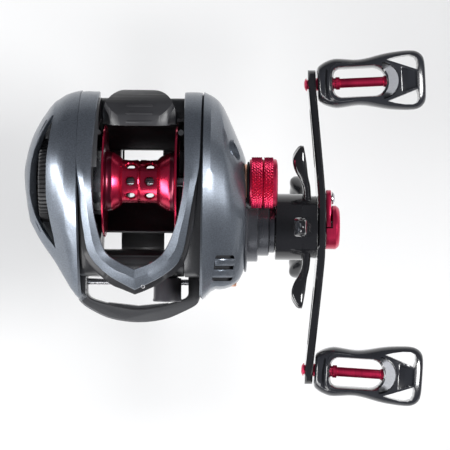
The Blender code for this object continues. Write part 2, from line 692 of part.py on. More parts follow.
def build_handle_nut(body):
    y, z = DRIVE_AXIS
    profile = [(58.3, 2.3), (58.3, 6.9), (61.6, 6.9), (62.6, 5.9), (62.6, 0), (61.2, 0),
               (61.2, 2.3)]
    nut = turned("handle_nut", profile, DRIVE_AXIS, steps=20)
    cut(nut, box("retainer_seat", (57.0, 60.3), (y - 0.3, y + 12.0), (z - 9.0, z + 9.0)))
    place(nut, RED_METAL, body)
    outline = arc((y + 8.8, z), 3.0, -70, 70, 6) + [(y, z + 6.2), (y, z - 6.2)]
    retainer = prism("nut_retainer", outline, 58.3, 59.9)
    cut(retainer, drum("retainer_bore", 57.0, 61.0, 2.4, DRIVE_AXIS))
    cut(retainer, drum("retainer_hole", 57.0, 61.0, 1.3, (y + 9.2, z), steps=12))
    place(retainer, RED_METAL, body)
    profile = [(58.3, 0), (58.3, 1.0), (60.2, 1.0), (60.2, 2.0), (60.8, 1.7), (61.2, 0.8),
               (61.2, 0)]
    place(turned("retainer_screw", profile, (y + 9.2, z), steps=16), STEEL, body)


def build_star(body):
    profile = [
        (42.8, 6.5), (42.8, 10.5), (50.8, 10.5), (53.3, 9.9), (55.2, 9.9), (55.2, 2.3),
        (46.0, 2.3), (46.0, 6.5),
    ]
    star = turned("star_drag", profile, DRIVE_AXIS, steps=20)
    for i in range(5):
        join(star, star_arm(90 + 72 * i))
    place(star, GLOSS_BLACK, body)
    profile = [(43.1, 2.5), (43.1, 3.1), (44.2, 5.8), (44.8, 5.8), (43.7, 2.5)]
    place(turned("star_spring_washer", profile, DRIVE_AXIS, steps=16), STEEL, body)


def star_arm(angle):
    """One paddle, lofted outwards from the hub: reach, near and far x, half width."""
    sections = [
        (7.0, 50.9, 53.2, 3.4), (12.0, 51.0, 53.2, 2.7), (17.0, 50.2, 52.6, 2.6),
        (21.0, 48.2, 51.9, 3.0), (24.5, 47.7, 51.3, 2.8), (26.5, 48.6, 50.9, 1.5),
    ]
    turn = math.radians(angle)
    outward = Vector((0, math.cos(turn), math.sin(turn)))
    across = Vector((0, -math.sin(turn), math.cos(turn)))
    centre = Vector((0, *DRIVE_AXIS))
    rings = []
    for reach, near, far, half in sections:
        middle = centre + outward * reach
        bevel = 0.8
        corners = [
            (near, -half + bevel), (near + bevel, -half), (far - bevel, -half),
            (far, -half + bevel), (far, half - bevel), (far - bevel, half),
            (near + bevel, half), (near, half - bevel),
        ]
        rings.append([middle + Vector((x, 0, 0)) + across * side for x, side in corners])
    return loft("star_arm", rings)


def build_knob(name, side, body):
    """A skeleton paddle grip that turns on its post. Its sections are superellipses."""
    centre_y = DRIVE_AXIS[0] + side * POST_REACH
    centre_z = DRIVE_AXIS[1]
    # From the inner end: distance, half width, half thickness
    sections = [
        (0.0, 5.0, 4.4), (0.6, 5.6, 5.1), (5.4, 7.8, 5.6), (11.5, 7.2, 5.7),
        (16.5, 7.8, 5.6), (22.0, 8.9, 5.2), (27.5, 9.4, 4.6), (30.6, 9.35, 4.1),
        (32.9, 8.2, 3.6), (33.9, 6.2, 2.8),
    ]
    count = 16
    rings = []
    for along, wide, thick in sections:
        x = KNOB_START + along
        ring = []
        for i in range(count):
            t = math.tau * (i + 0.5) / count
            c, s = math.cos(t), math.sin(t)
            y = centre_y + wide * math.copysign(abs(c) ** 0.55, c)
            z = centre_z + thick * math.copysign(abs(s) ** 0.75, s)
            ring.append((x, y, z))
        rings.append(ring)
    knob = splayed(loft(name, rings), side)
    low, high = centre_z - 9.0, centre_z + 9.0
    slot = capsule((KNOB_START + 13.1, centre_y), (1, 0), 3.8, 4.2)
    cut(knob, splayed(prism("knob_slot", slot, low, high, "Z"), side))
    for edge in (1, -1):
        corners = [(21.9, 7.4), (29.3, 7.9), (31.7, 6.2), (32.3, 2.0)]
        outline = [(KNOB_START + along, centre_y + edge * y) for along, y in corners]
        cut(knob, splayed(prism("knob_cutout", outline, low, high, "Z"), side))
    bore = drum("knob_bore", 53.5, 78.0, 2.1, (centre_y, centre_z), steps=16)
    cut(knob, splayed(bore, side))
    place(knob, GLOSS_BLACK, body)


# ---------------------------------------------------------------------------------------------
# Thumb bar and clutch
# ---------------------------------------------------------------------------------------------
def build_thumb_bar(body):
    side = [
        (16.6, 42.4), (20.0, 41.6), (24.5, 38.4), (27.6, 33.4), (28.2, 29.6), (26.6, 29.2),
        (22.0, 33.6), (21.4, 32.6), (18.9, 32.6), (17.6, 35.0),
    ]
    bar = prism("thumb_bar", side, -11.3, 11.7)
    section = [
        (-11.4, 28.0), (-11.4, 36.0), (-8.6, 40.4), (-5.2, 42.5), (5.4, 42.5), (8.9, 40.4),
        (11.8, 36.0), (11.8, 28.0),
    ]
    combine(bar, prism("bar_section", section, 10.0, 32.0, "Y"), "INTERSECT")
    corners = [(-11.5, 15.0), (-11.5, 24.0), (-9.6, 27.2), (-6.5, 28.4), (7.0, 28.4),
               (10.1, 27.2), (11.9, 24.0), (11.9, 15.0)]
    combine(bar, prism("bar_plan", corners, 25.0, 45.0, "Z"), "INTERSECT")
    join(bar, box("clutch_tab", (10.0, 16.4), (19.2, 21.2), (32.7, 34.3)))
    place(bar, CHARCOAL, body)

    cam = [
        (-6.5, 38.5), (12.0, 38.5), (18.8, 34.8), (19.6, 32.4), (12.0, 33.8), (6.5, 33.8),
        (6.5, 24.0), (3.8, 24.0), (3.8, 34.6), (-3.8, 34.6), (-3.8, 24.0), (-6.5, 24.0),
    ]
    place(prism("clutch_cam", cam, 16.8, 17.8), STEEL, body)


def yoke_direction():
    """Across the line from the spool axis to the drive axis, so the yoke clears the drive gear."""
    y, z = DRIVE_AXIS[0] - SPOOL_AXIS[0], DRIVE_AXIS[1] - SPOOL_AXIS[1]
    length = math.hypot(y, z)
    return z / length, -y / length


def build_yoke(body):
    across = yoke_direction()
    yoke = prism("clutch_yoke", capsule(SPOOL_AXIS, across, YOKE_POST_DISTANCE, 3.2), 25.7, 26.9)
    cut(yoke, drum("yoke_throat", 24.0, 28.0, 2.5, SPOOL_AXIS))
    for sign in (1, -1):
        centre = tuple(SPOOL_AXIS[i] + sign * YOKE_POST_DISTANCE * across[i] for i in (0, 1))
        cut(yoke, drum("yoke_hole", 24.0, 28.0, 1.3, centre, steps=12))
    place(yoke, BLACK_PLASTIC, body)


def build_yoke_posts():
    across = yoke_direction()
    for name, sign in (("yoke_post_lower", 1), ("yoke_post_upper", -1)):
        centre = tuple(SPOOL_AXIS[i] + sign * YOKE_POST_DISTANCE * across[i] for i in (0, 1))
        place(drum(name, 24.0, 30.3, 1.0, centre, steps=12), STEEL)


def build_pinion(body):
    profile = [(17.0, 0), (17.0, 3.2), (18.7, 3.2), (18.7, 1.8), (25.5, 1.8), (25.5, 2.2),
               (27.2, 2.2), (27.2, 3.2), (28.3, 3.2), (28.3, 0)]
    pinion = turned("pinion_gear", profile, SPOOL_AXIS, steps=14)
    join(pinion, prism("pinion_teeth", PINION, 18.6, 25.3))
    cut(pinion, drum("pinion_bore", 15.0, 30.0, 1.3, SPOOL_AXIS, steps=12),
        box("pin_slot", (16.0, 18.4), (-0.8, 0.8), (SPOOL_AXIS[1] - 4, SPOOL_AXIS[1] + 4)))
    place(pinion, BRASS, body)


# ---------------------------------------------------------------------------------------------
# Level wind
# ---------------------------------------------------------------------------------------------
def build_worm(body):
    """The worm: a journal at each end and crossing left- and right-hand grooves between."""
    radius, depth, pitch, count = 2.6, 0.6, 6.0, 10
    low, high, steps = -11.6, 13.4, 24
    rings = []
    for k in range(steps + 1):
        x = low + (high - low) * k / steps
        ring = []
        for i in range(count):
            angle = math.tau * i / count
            lead = math.tau * (x - low) / pitch
            near = max(math.cos(angle - lead), math.cos(angle + lead))
            r = radius - depth * max(0.0, near) ** 4
            ring.append((x, WORM_AXIS[0] + r * math.cos(angle),
                         WORM_AXIS[1] + r * math.sin(angle)))
        rings.append(ring)
    worm = loft("worm_shaft", rings)
    join(worm, drum("journal_left", -16.6, -11.0, 1.6, WORM_AXIS, steps=16),
         drum("journal_right", 13.0, 19.8, 1.6, WORM_AXIS, steps=16))
    place(worm, STEEL, body)
    cog = prism("worm_cog", WORM_GEAR, 18.4, 19.6)
    cut(cog, drum("worm_cog_bore", 17.0, 21.0, 1.9, WORM_AXIS, steps=16))
    place(cog, CHARCOAL, body)


def build_level_wind_frame():
    housing = tube("worm_housing", -11.8, 13.8, 4.3, 3.2, WORM_AXIS, steps=20)
    y, z = WORM_AXIS
    cut(housing, box("pawl_slot", (-10.8, 12.6), (y - 1.8, y + 1.8), (z - 6, z - 2)))
    place(housing, DARK_FRAME)
    place(tube("worm_bush_left", -17.2, -12.6, 3.0, 1.9, WORM_AXIS, steps=20), BLACK_PLASTIC)
    place(tube("worm_bush_right", 14.2, 17.6, 3.0, 1.9, WORM_AXIS, steps=20), BLACK_PLASTIC)
    place(drum("guide_rod", -19.2, 17.8, 1.0, ROD_AXIS, steps=16), STEEL)


def build_line_guide(body):
    """The barrel that leads the line, on a shoe that rides the guide rod, reaches under the worm
    housing and holds the pawl upright in the worm's groove."""
    eye = (GUIDE_X, GUIDE_Z)
    pawl_axis = (GUIDE_X, WORM_AXIS[0])
    bore = EYE_RADIUS + 0.8
    profile = [(-37.6, bore), (-37.6, 4.6), (-36.9, 4.6), (-36.6, 4.4), (-30.2, 4.4),
               (-30.2, bore)]
    guide = turned("line_guide", profile, eye, "Y", 20)
    front = box("shoe_front", (GUIDE_X - 3.4, GUIDE_X + 3.4), (-34.0, -30.1), (3.8, 10.6))
    under = box("shoe_under", (GUIDE_X - 3.0, GUIDE_X + 3.0), (-31.0, -23.0), (3.8, 7.8))
    join(guide, front, under, solver="MANIFOLD")
    eye_bore = drum("eye_bore", -40.0, -28.0, bore, eye, "Y", 20)
    rod_bore = drum("rod_bore", 0.0, 20.0, 1.3, ROD_AXIS, steps=14)
    pawl_bore = drum("pawl_bore", 4.4, 9.0, 1.5, pawl_axis, "Z", 14)
    cap_bore = drum("cap_bore", 2.0, 5.0, 2.0, pawl_axis, "Z", 14)
    cut(guide, eye_bore, rod_bore, pawl_bore, cap_bore, solver="MANIFOLD")
    place(guide, BLACK_PLASTIC, body)
    ring = tube("line_ring", -37.2, -31.0, EYE_RADIUS + 0.5, EYE_RADIUS, eye, "Y", 20)
    place(ring, CERAMIC, body)
    profile = [(5.3, 0), (5.3, 1.2), (8.8, 1.2), (9.7, 0.5), (9.7, 0)]
    place(turned("pawl", profile, pawl_axis, "Z", 12), STEEL, body)
    place(drum("pawl_cap", 3.6, 4.8, 1.7, pawl_axis, "Z", 12), STEEL, body)


# ---------------------------------------------------------------------------------------------
# Assembly
# ---------------------------------------------------------------------------------------------
build_frame()
build_foot()
build_hood()
build_handle_side()
build_level_wind_frame()
build_yoke_posts()

palm = joint_empty("palm_slide_axis", *SPOOL_AXIS, x=-26.0)
build_palm_side(palm)
build_dial(joint_empty("dial_axis", *SPOOL_AXIS, x=-28.8))
build_magnets(joint_empty("magnet_axis", *SPOOL_AXIS, x=-15.0))
build_spool(joint_empty("spool_axis", *SPOOL_AXIS))
build_cast_cap(joint_empty("cast_cap_axis", *SPOOL_AXIS, x=38.0))

drive = joint_empty("drive_axis", *DRIVE_AXIS, x=40.0)
build_drive(drive)
build_star(joint_empty("star_axis", *DRIVE_AXIS, x=50.0))
for knob_name, knob_side in (("knob_rear", 1), ("knob_front", -1)):
    axis = joint_empty(f"{knob_name}_axis", DRIVE_AXIS[0] + knob_side * POST_REACH,
                       DRIVE_AXIS[1], x=POST_X)
    build_knob(knob_name, knob_side, axis)

build_thumb_bar(joint_empty("thumb_bar_slide", 22.0, 36.0))
build_yoke(joint_empty("yoke_slide", *SPOOL_AXIS, x=26.0))
build_pinion(joint_empty("pinion_axis", *SPOOL_AXIS, x=22.0))
build_worm(joint_empty("worm_axis", *WORM_AXIS))
build_line_guide(joint_empty("line_guide_slide", -33.0, GUIDE_Z, x=GUIDE_X))
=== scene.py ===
"""Looks of the low-profile baitcasting reel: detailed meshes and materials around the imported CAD.

Lengths are in millimetres unless they reach Blender, where they are multiplied by MM.
+X points to the handle side, +Y to the rear and +Z up, away from the rod.
"""

import json
import math

import bmesh
import bpy
from mathutils import Matrix, Vector


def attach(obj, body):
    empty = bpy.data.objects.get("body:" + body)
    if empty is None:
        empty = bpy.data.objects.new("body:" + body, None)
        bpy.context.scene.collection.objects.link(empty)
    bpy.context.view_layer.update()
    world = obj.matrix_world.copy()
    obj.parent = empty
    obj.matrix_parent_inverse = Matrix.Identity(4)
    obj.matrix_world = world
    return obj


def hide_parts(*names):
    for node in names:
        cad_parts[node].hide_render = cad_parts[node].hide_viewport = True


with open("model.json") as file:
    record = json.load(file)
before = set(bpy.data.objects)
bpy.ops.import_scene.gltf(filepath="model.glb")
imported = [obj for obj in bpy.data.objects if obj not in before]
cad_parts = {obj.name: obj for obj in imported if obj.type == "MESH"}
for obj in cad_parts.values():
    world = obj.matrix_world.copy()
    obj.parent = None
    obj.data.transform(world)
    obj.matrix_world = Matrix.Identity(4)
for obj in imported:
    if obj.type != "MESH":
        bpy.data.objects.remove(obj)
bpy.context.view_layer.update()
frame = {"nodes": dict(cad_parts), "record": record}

MM = 0.001
# (y, z) of what lies along X
SPOOL = (0.0, 27.0)
DRIVE = (-13.6, 16.0)
WORM = (-25.5, 12.5)
ROD = (-31.7, 6.5)
PLATE_SCREW = (9.5, 34.0)
OIL_PORT = (-30.3, 17.0)
# (x, y) of the upright screw in the hood and (x, z) of the line guide's eye
HOOD_SCREW = (1.6, -32.4)
GUIDE_EYE = (8.6, 14.0)
# Handle: x of the arm's middle at the shaft and at the knob posts, the posts' distance from the
# drive axis, x where the grips start, and their splay in degrees
ARM_X = 56.75
POST_X = 53.4
POST_REACH = 45.0
KNOB_START = 55.3
KNOB_SPLAY = 3.2


# ---- Mesh helpers ----
def linked(name, data):
    """A new object in the scene."""
    obj = bpy.data.objects.new(name, data)
    bpy.context.scene.collection.objects.link(obj)
    return obj


def finished(name, bm, sharp=32.0):
    """The object that a bmesh becomes."""
    mesh = bpy.data.meshes.new(name)
    bm.to_mesh(mesh)
    bm.free()
    return shade(linked(name, mesh), sharp)


def make(name, verts, faces, sharp=32.0, merge=True):
    """A smooth-shaded mesh object whose edges above an angle stay sharp."""
    bm = bmesh.new()
    made = [bm.verts.new(Vector(v) * MM) for v in verts]
    for face in faces:
        try:
            bm.faces.new([made[i] for i in face])
        except ValueError:
            continue
    if merge:
        bmesh.ops.remove_doubles(bm, verts=bm.verts, dist=2e-6)
        bmesh.ops.dissolve_degenerate(bm, edges=bm.edges, dist=1e-6)
    bmesh.ops.recalc_face_normals(bm, faces=bm.faces)
    return finished(name, bm, sharp)


def shade(obj, sharp=32.0):
    mesh = obj.data
    mesh.polygons.foreach_set("use_smooth", [True] * len(mesh.polygons))
    mesh.set_sharp_from_angle(angle=math.radians(sharp))
    return obj


def bake(obj, sharp=32.0):
    """Apply an object's modifiers."""
    graph = bpy.context.evaluated_depsgraph_get()
    mesh = bpy.data.meshes.new_from_object(obj.evaluated_get(graph))
    obj.modifiers.clear()
    obj.data = mesh
    return shade(obj, sharp)


def combine(obj, others, operation="DIFFERENCE", sharp=32.0):
    """Cut the others out of an object, or keep what it shares with them."""
    for other in others:
        modifier = obj.modifiers.new("Combine", "BOOLEAN")
        modifier.operation = operation
        modifier.solver = "EXACT"
        modifier.object = other
    bake(obj, sharp)
    for other in others:
        bpy.data.objects.remove(other, do_unlink=True)
    return obj


def bevel(obj, width, segments=2, angle=35.0, sharp=40.0):
    """Round the edges that are sharper than an angle."""
    modifier = obj.modifiers.new("Bevel", "BEVEL")
    modifier.width = width * MM
    modifier.segments = segments
    modifier.limit_method = "ANGLE"
    modifier.angle_limit = math.radians(angle)
    modifier.harden_normals = True
    modifier.use_clamp_overlap = True
    return bake(obj, sharp)


def merged(name, parts):
    """Several objects as one."""
    bm = bmesh.new()
    for part in parts:
        bm.from_mesh(part.data)
        bpy.data.objects.remove(part, do_unlink=True)
    return finished(name, bm)


def grid(name, rows, caps=True, **more):
    """A skin over equal rows of points, each row joined end to start."""
    count = len(rows[0])
    verts = [p for row in rows for p in row]
    faces = []
    for r in range(len(rows) - 1):
        for c in range(count):
            d = (c + 1) % count
            faces.append((r * count + c, r * count + d, (r + 1) * count + d, (r + 1) * count + c))
    if caps:
        faces.append(tuple(range(count)))
        faces.append(tuple(range((len(rows) - 1) * count, len(rows) * count)))
    return make(name, verts, faces, **more)


def on_axis(axis, along, a, b):
    """A point so far along the X, Y or Z axis, at a and b on the other two."""
    return {"X": (along, a, b), "Y": (a, along, b), "Z": (a, b, along)}[axis]


def around(axis, centre, along, radius, angle):
    """A point at an angle round an axis."""
    return on_axis(axis, along, centre[0] + radius * math.cos(angle),
                   centre[1] + radius * math.sin(angle))


def circle(steps, offset=0.0):
    """The angles of equal steps round a circle."""
    return [math.tau * (i + offset) / steps for i in range(steps)]


def swell(value, power):
    """A sine or cosine bent so that a round section grows squarer."""
    return math.copysign(abs(value) ** power, value)


def turned(name, profile, centre, axis="X", steps=64, **more):
    """A solid of revolution from (along, radius) pairs. A profile that touches the axis is
    closed there, any other is closed on itself."""
    touches = min(r for _, r in profile) <= 0
    rows = [[around(axis, centre, along, radius, t) for t in circle(steps)]
            for along, radius in (profile if touches else profile + profile[:1])]
    return grid(name, rows, caps=False, **more)


def prism(name, outline, low, high, axis="X", **more):
    """A straight solid over an outline in the plane across its axis."""
    return grid(name, [[on_axis(axis, along, a, b) for a, b in outline]
                       for along in (low, high)], **more)


def block(name, x, y, z):
    """A box from three (low, high) ranges."""
    outline = [(x[0], y[0]), (x[1], y[0]), (x[1], y[1]), (x[0], y[1])]
    return prism(name, outline, z[0], z[1], "Z")


def drum(name, low, high, radius, centre, axis="X", steps=48):
    """A plain round bar."""
    return turned(name, [(low, 0), (low, radius), (high, radius), (high, 0)], centre, axis, steps)


def arc(centre, radius, start, end, steps):
    """Points on a circle between two angles in degrees."""
    turn = [math.radians(start + (end - start) * i / steps) for i in range(steps + 1)]
    return [around("X", centre, 0.0, radius, t)[1:] for t in turn]


def smooth_path(points, steps=6):
    """Catmull-Rom through points of any dimension."""
    path = []
    for i in range(len(points) - 1):
        p1, p2 = points[i], points[i + 1]
        p0 = points[i - 1] if i else p1
        p3 = points[i + 2] if i + 2 < len(points) else p2
        for k in range(steps):
            t = k / steps
            path.append(tuple(
                0.5 * (2 * b + (c - a) * t + (2 * a - 5 * b + 4 * c - d) * t * t
                       + (3 * b - a - 3 * c + d) * t ** 3)
                for a, b, c, d in zip(p0, p1, p2, p3)))
    return path + [tuple(points[-1])]


def lookup(table, x):
    """Linear interpolation in a list of (x, value) pairs with rising x."""
    if x <= table[0][0]:
        return table[0][1]
    for (x0, v0), (x1, v1) in zip(table, table[1:]):
        if x <= x1:
            return v0 + (v1 - v0) * (x - x0) / (x1 - x0)
    return table[-1][1]


def smoothstep(edge0, edge1, x):
    t = min(1.0, max(0.0, (x - edge0) / (edge1 - edge0)))
    return t * t * (3 - 2 * t)


def dress(obj, body, mat, slot, *nodes):
    """Give a finished piece its material and its body, and hide the nodes it stands for. The slot
    argument is not used.
    """
    obj.data.materials.clear()
    obj.data.materials.append(mat)
    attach(obj, body)
    if nodes:
        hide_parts(*nodes)
    return obj


# ---- Materials ----
class Nodes:
    """A material's node tree with short ways to add and link nodes."""

    def __init__(self, name):
        self.mat = bpy.data.materials.new(name)
        self.mat.use_nodes = True
        self.tree = self.mat.node_tree
        self.shader = self.tree.nodes["Principled BSDF"]
        self.place = self.add("ShaderNodeTexCoord").outputs["Object"]

    def add(self, kind, **values):
        node = self.tree.nodes.new(kind)
        for key, value in values.items():
            if hasattr(node, key) and key not in node.inputs:
                setattr(node, key, value)
            else:
                node.inputs[key].default_value = value
        return node

    def link(self, source, target):
        self.tree.links.new(source, target)

    def set(self, **values):
        for key, value in values.items():
            self.shader.inputs[key.replace("_", " ")].default_value = value

    def stretched(self, scale):
        mapping = self.add("ShaderNodeMapping")
        mapping.inputs["Scale"].default_value = scale
        self.link(self.place, mapping.inputs["Vector"])
        return mapping.outputs["Vector"]

    def noise(self, scale, detail=3.0, vector=None):
        node = self.add("ShaderNodeTexNoise")
        node.inputs["Scale"].default_value = scale
        node.inputs["Detail"].default_value = detail
        self.link(vector or self.place, node.inputs["Vector"])
        return node.outputs["Fac"]

    def ramp(self, factor, stops):
        node = self.add("ShaderNodeValToRGB")
        elements = node.color_ramp.elements
        while len(elements) < len(stops):
            elements.new(0.5)
        for element, (position, color) in zip(elements, stops):
            element.position = position
            if not isinstance(color, tuple):
                color = (color, color, color)
            element.color = (*color, 1.0)
        self.link(factor, node.inputs["Fac"])
        return node.outputs["Color"]

    def vary(self, socket, factor, low, high, start=0.3, end=0.7):
        """Let a noise move a shader value between two levels."""
        self.link(self.ramp(factor, [(start, low), (end, high)]), self.shader.inputs[socket])

    def bump(self, height, strength, distance):
        node = self.add("ShaderNodeBump")
        node.inputs["Strength"].default_value = strength
        node.inputs["Distance"].default_value = distance
        self.link(height, node.inputs["Height"])
        self.link(node.outputs["Normal"], self.shader.inputs["Normal"])
        return node


def shades(color, low, high):
    """The same colour, darker and lighter."""
    return tuple(c * low for c in color), tuple(c * high for c in color)


def paint(name, color, metallic, roughness, coat, flake=0.16, grain=0.012):
    """Sprayed metallic paint: flakes, a slow drift of tone and an even coat."""
    n = Nodes(name)
    n.set(Metallic=metallic, Coat_Weight=coat, Coat_Roughness=0.06)
    n.vary("Base Color", n.noise(2600.0, 2.0), *shades(color, 1 - flake, 1 + flake), 0.32, 0.68)
    n.vary("Roughness", n.noise(55.0, 4.0), roughness * 0.85, roughness * 1.15)
    n.bump(n.noise(900.0, 2.0), 0.08, grain * MM)
    return n.mat


def plastic(name, color, roughness, texture, coat=0.0):
    """Moulded plastic with a fine spark-eroded texture."""
    n = Nodes(name)
    n.set(Metallic=0.0, Coat_Weight=coat, Coat_Roughness=0.08)
    n.vary("Base Color", n.noise(90.0, 5.0), *shades(color, 0.82, 1.22))
    n.vary("Roughness", n.noise(240.0, 4.0), roughness * 0.85, roughness * 1.18)
    n.bump(n.noise(1500.0, 3.0), texture, 0.03 * MM)
    return n.mat


def anodised(name, color, roughness):
    """Dyed anodised aluminium with the fine rings a lathe leaves."""
    n = Nodes(name)
    n.set(Metallic=0.85, Coat_Weight=0.4, Coat_Roughness=0.18)
    lines = n.noise(1.0, 2.0, vector=n.stretched((5200.0, 60.0, 60.0)))
    n.vary("Base Color", lines, *shades(color, 0.86, 1.12))
    n.vary("Roughness", n.noise(160.0, 4.0), roughness * 0.8, roughness * 1.25)
    n.bump(lines, 0.05, 0.02 * MM)
    return n.mat


def metal(name, color, roughness, turned_along="X"):
    """Bare turned metal."""
    n = Nodes(name)
    n.set(Metallic=1.0)
    lines = n.noise(1.0, 3.0, vector=n.stretched(on_axis(turned_along, 3800.0, 45.0, 45.0)))
    n.vary("Base Color", lines, *shades(color, 0.84, 1.1))
    n.vary("Roughness", n.noise(300.0, 4.0), roughness * 0.75, roughness * 1.3)
    n.bump(lines, 0.08, 0.02 * MM)
    return n.mat


def woven(name):
    """Carbon cloth under a thin coat."""
    n = Nodes(name)
    n.set(Metallic=0.0, Coat_Weight=0.3, Coat_Roughness=0.2, Roughness=0.45)
    check = n.add("ShaderNodeTexChecker", Scale=1400.0)
    n.link(n.place, check.inputs["Vector"])
    n.vary("Base Color", check.outputs["Fac"], 0.012, 0.05, 0.4, 0.6)
    n.bump(check.outputs["Fac"], 0.2, 0.03 * MM)
    return n.mat


SLATE = paint("slate_paint", (0.175, 0.197, 0.23), 0.85, 0.36, 0.35)
# The frame's own dark paint, also given to the dial's recess walls and the vent floor as painted
# shade
FRAME_PAINT_AND_SHADE = paint("frame_paint", (0.055, 0.056, 0.060), 0.3, 0.36, 0.2, 0.1)
COVER_PAINT = paint("nose_cover_paint", (0.016, 0.016, 0.018), 0.2, 0.34, 0.1, 0.1)
# Light grey for the knobs' dish plates: a painted highlight on the black knob plastic
DISH_SHEEN = paint("knob_dish_highlight", (0.20, 0.205, 0.22), 0.6, 0.42, 0.2, 0.1)
BLACK_METAL = paint("gloss_black_metal", (0.012, 0.012, 0.014), 0.2, 0.14, 0.7, 0.1, 0.004)
COLLAR_METAL = paint("collar_metal", (0.13, 0.135, 0.15), 0.75, 0.28, 0.3, 0.1, 0.004)
CHARCOAL = plastic("charcoal_plastic", (0.028, 0.028, 0.031), 0.4, 0.25)
BLACK_PLASTIC = plastic("black_plastic", (0.034, 0.034, 0.036), 0.42, 0.25)
GUIDE_PLASTIC = plastic("guide_plastic", (0.045, 0.044, 0.050), 0.33, 0.12)
KNOB_PLASTIC = plastic("gloss_knob", (0.016, 0.017, 0.021), 0.2, 0.06, 0.6)
RED = anodised("red_anodised", (0.66, 0.018, 0.075), 0.24)
# A much darker copy of the red anodising, used on the flanges as painted shade
RED_PAINTED_SHADE = anodised("red_anodised_painted_shade", (0.13, 0.004, 0.022), 0.3)
RED_FINE = anodised("red_anodised_fine", (0.62, 0.02, 0.085), 0.34)
STEEL = metal("steel", (0.60, 0.60, 0.62), 0.24)
STEEL_UPRIGHT = metal("steel_upright", (0.62, 0.62, 0.64), 0.24, "Z")
BRASS = metal("brass", (0.62, 0.42, 0.16), 0.28)
COPPER = metal("copper_anodised", (0.78, 0.42, 0.28), 0.3)
ALLOY = metal("light_alloy", (0.66, 0.67, 0.69), 0.3)
NICKEL = metal("magnet_nickel", (0.60, 0.60, 0.61), 0.2)
CERAMIC = plastic("ceramic", (0.07, 0.07, 0.08), 0.12, 0.02, 0.6)
RUBBER = plastic("black_rubber", (0.014, 0.014, 0.014), 0.6, 0.3)
CARBON = woven("carbon_fibre")

CARRIED = {
    "slate_paint": SLATE, "dark_frame_paint": FRAME_PAINT_AND_SHADE, "charcoal_plastic": CHARCOAL,
    "gloss_black_metal": BLACK_METAL, "gloss_black_plastic": KNOB_PLASTIC,
    "black_plastic": BLACK_PLASTIC, "red_anodised": RED, "steel": STEEL, "brass": BRASS,
    "copper_anodised": COPPER, "carbon_fibre": CARBON, "black_rubber": RUBBER,
    "ceramic": CERAMIC, "magnet_nickel": NICKEL, "light_alloy": ALLOY,
}
for part in frame["record"]["subparts"]:
    node = frame["nodes"][part["node"]]
    for index in range(max(1, len(node.material_slots))):
        if not node.material_slots:
            node.data.materials.append(CARRIED[part["material_slot"]])
        node.material_slots[index].material = CARRIED[part["material_slot"]]

# ---- Side outlines shared by the frame, the hood and the side plates ----
# The rear half's share of the length, how blunt the nose is and how much its top is raised,
# and how far the front sinks on the plates and on the hood
REAR_SHARE = 0.398
NOSE_POWER = 1.2
NOSE_LIFT = 0.52
PLATE_DROP = 0.4
HOOD_DROP = 0.2


def outline_middle(rear, front):
    """Y at which the side outline's rear half meets its front."""
    return rear - REAR_SHARE * (rear - front)


def outline_point(rear, front, top, bottom, t, drop=PLATE_DROP):
    """Side outline (y, z): a half ellipse behind and a lowered, blunt nose in front."""
    middle = outline_middle(rear, front)
    height = (top - bottom) / 2
    c, s = math.cos(t), math.sin(t)
    if c >= 0:
        y, z = middle + (rear - middle) * c, height * s
    else:
        y = middle + (middle - front) * c
        z = height * swell(s, NOSE_POWER) - drop * height * c * c
        z += NOSE_LIFT * height * c ** 4 * smoothstep(0.0, 0.3, s)
    return y, (top + bottom) / 2 + z


def side_outline(rear, front, top, bottom, steps):
    return [outline_point(rear, front, top, bottom, math.radians(360.0 * i / steps))
            for i in range(steps)]


class Shell:
    """A side plate's outer surface through side-view stations (x, rear, front, top, bottom)."""

    def __init__(self, stations):
        self.fine = smooth_path(stations, 10)

    def point(self, s, t):
        s = min(max(s, 0.0), len(self.fine) - 1.001)
        i = int(s)
        f = s - i
        x, rear, front, top, bottom = (a + (b - a) * f
                                       for a, b in zip(self.fine[i], self.fine[i + 1]))
        y, z = outline_point(rear, front, top, bottom, t)
        return Vector((x, y, z))

    def height(self, x, y):
        """Z of the upper surface at a place in plan."""
        for a, b in zip(self.fine, self.fine[1:]):
            if min(a[0], b[0]) <= x <= max(a[0], b[0]):
                f = (x - a[0]) / (b[0] - a[0])
                _, rear, front, top, bottom = (p + (q - p) * f for p, q in zip(a, b))
                middle = outline_middle(rear, front)
                span = rear - middle if y >= middle else middle - front
                t = math.acos(max(-1.0, min(1.0, (y - middle) / span)))
                return outline_point(rear, front, top, bottom, t)[1]
        return 0.0

    def reach(self, t, edge):
        """Where along the stations the surface meets an edge given as (y, x) pairs."""
        low, high = 0.0, len(self.fine) - 1.0
        outward = self.fine[-1][0] > self.fine[0][0]
        for _ in range(22):
            middle = (low + high) / 2
            p = self.point(middle, t)
            short = p.x < lookup(edge, p.y) if outward else p.x > lookup(edge, p.y)
            low, high = (middle, high) if short else (low, middle)
        return (low + high) / 2


PLATE_COLUMNS = 128
WINDOW_ROW = 10


def plate_shell(name, columns, wall, sharp, opened=None):
    """A side plate's wall from columns that run out to its end, with a gap at the window."""
    count, size = len(columns), len(columns[0])
    verts = [point for column in columns for point in column]
    faces = []
    for i in range(count):
        j = (i + 1) % count
        for k in range(size - 1):
            if opened and k == WINDOW_ROW and (opened[i] or opened[j]):
                continue
            faces.append((i * size + k, j * size + k, j * size + k + 1, i * size + k + 1))
    faces.append(tuple(i * size + size - 1 for i in range(count)))
    plate = make(name, verts, faces, sharp=sharp)
    solid = plate.modifiers.new("Wall", "SOLIDIFY")
    solid.thickness = wall * MM
    solid.offset = -1.0
    solid.use_even_offset = False
    return bake(plate, sharp)


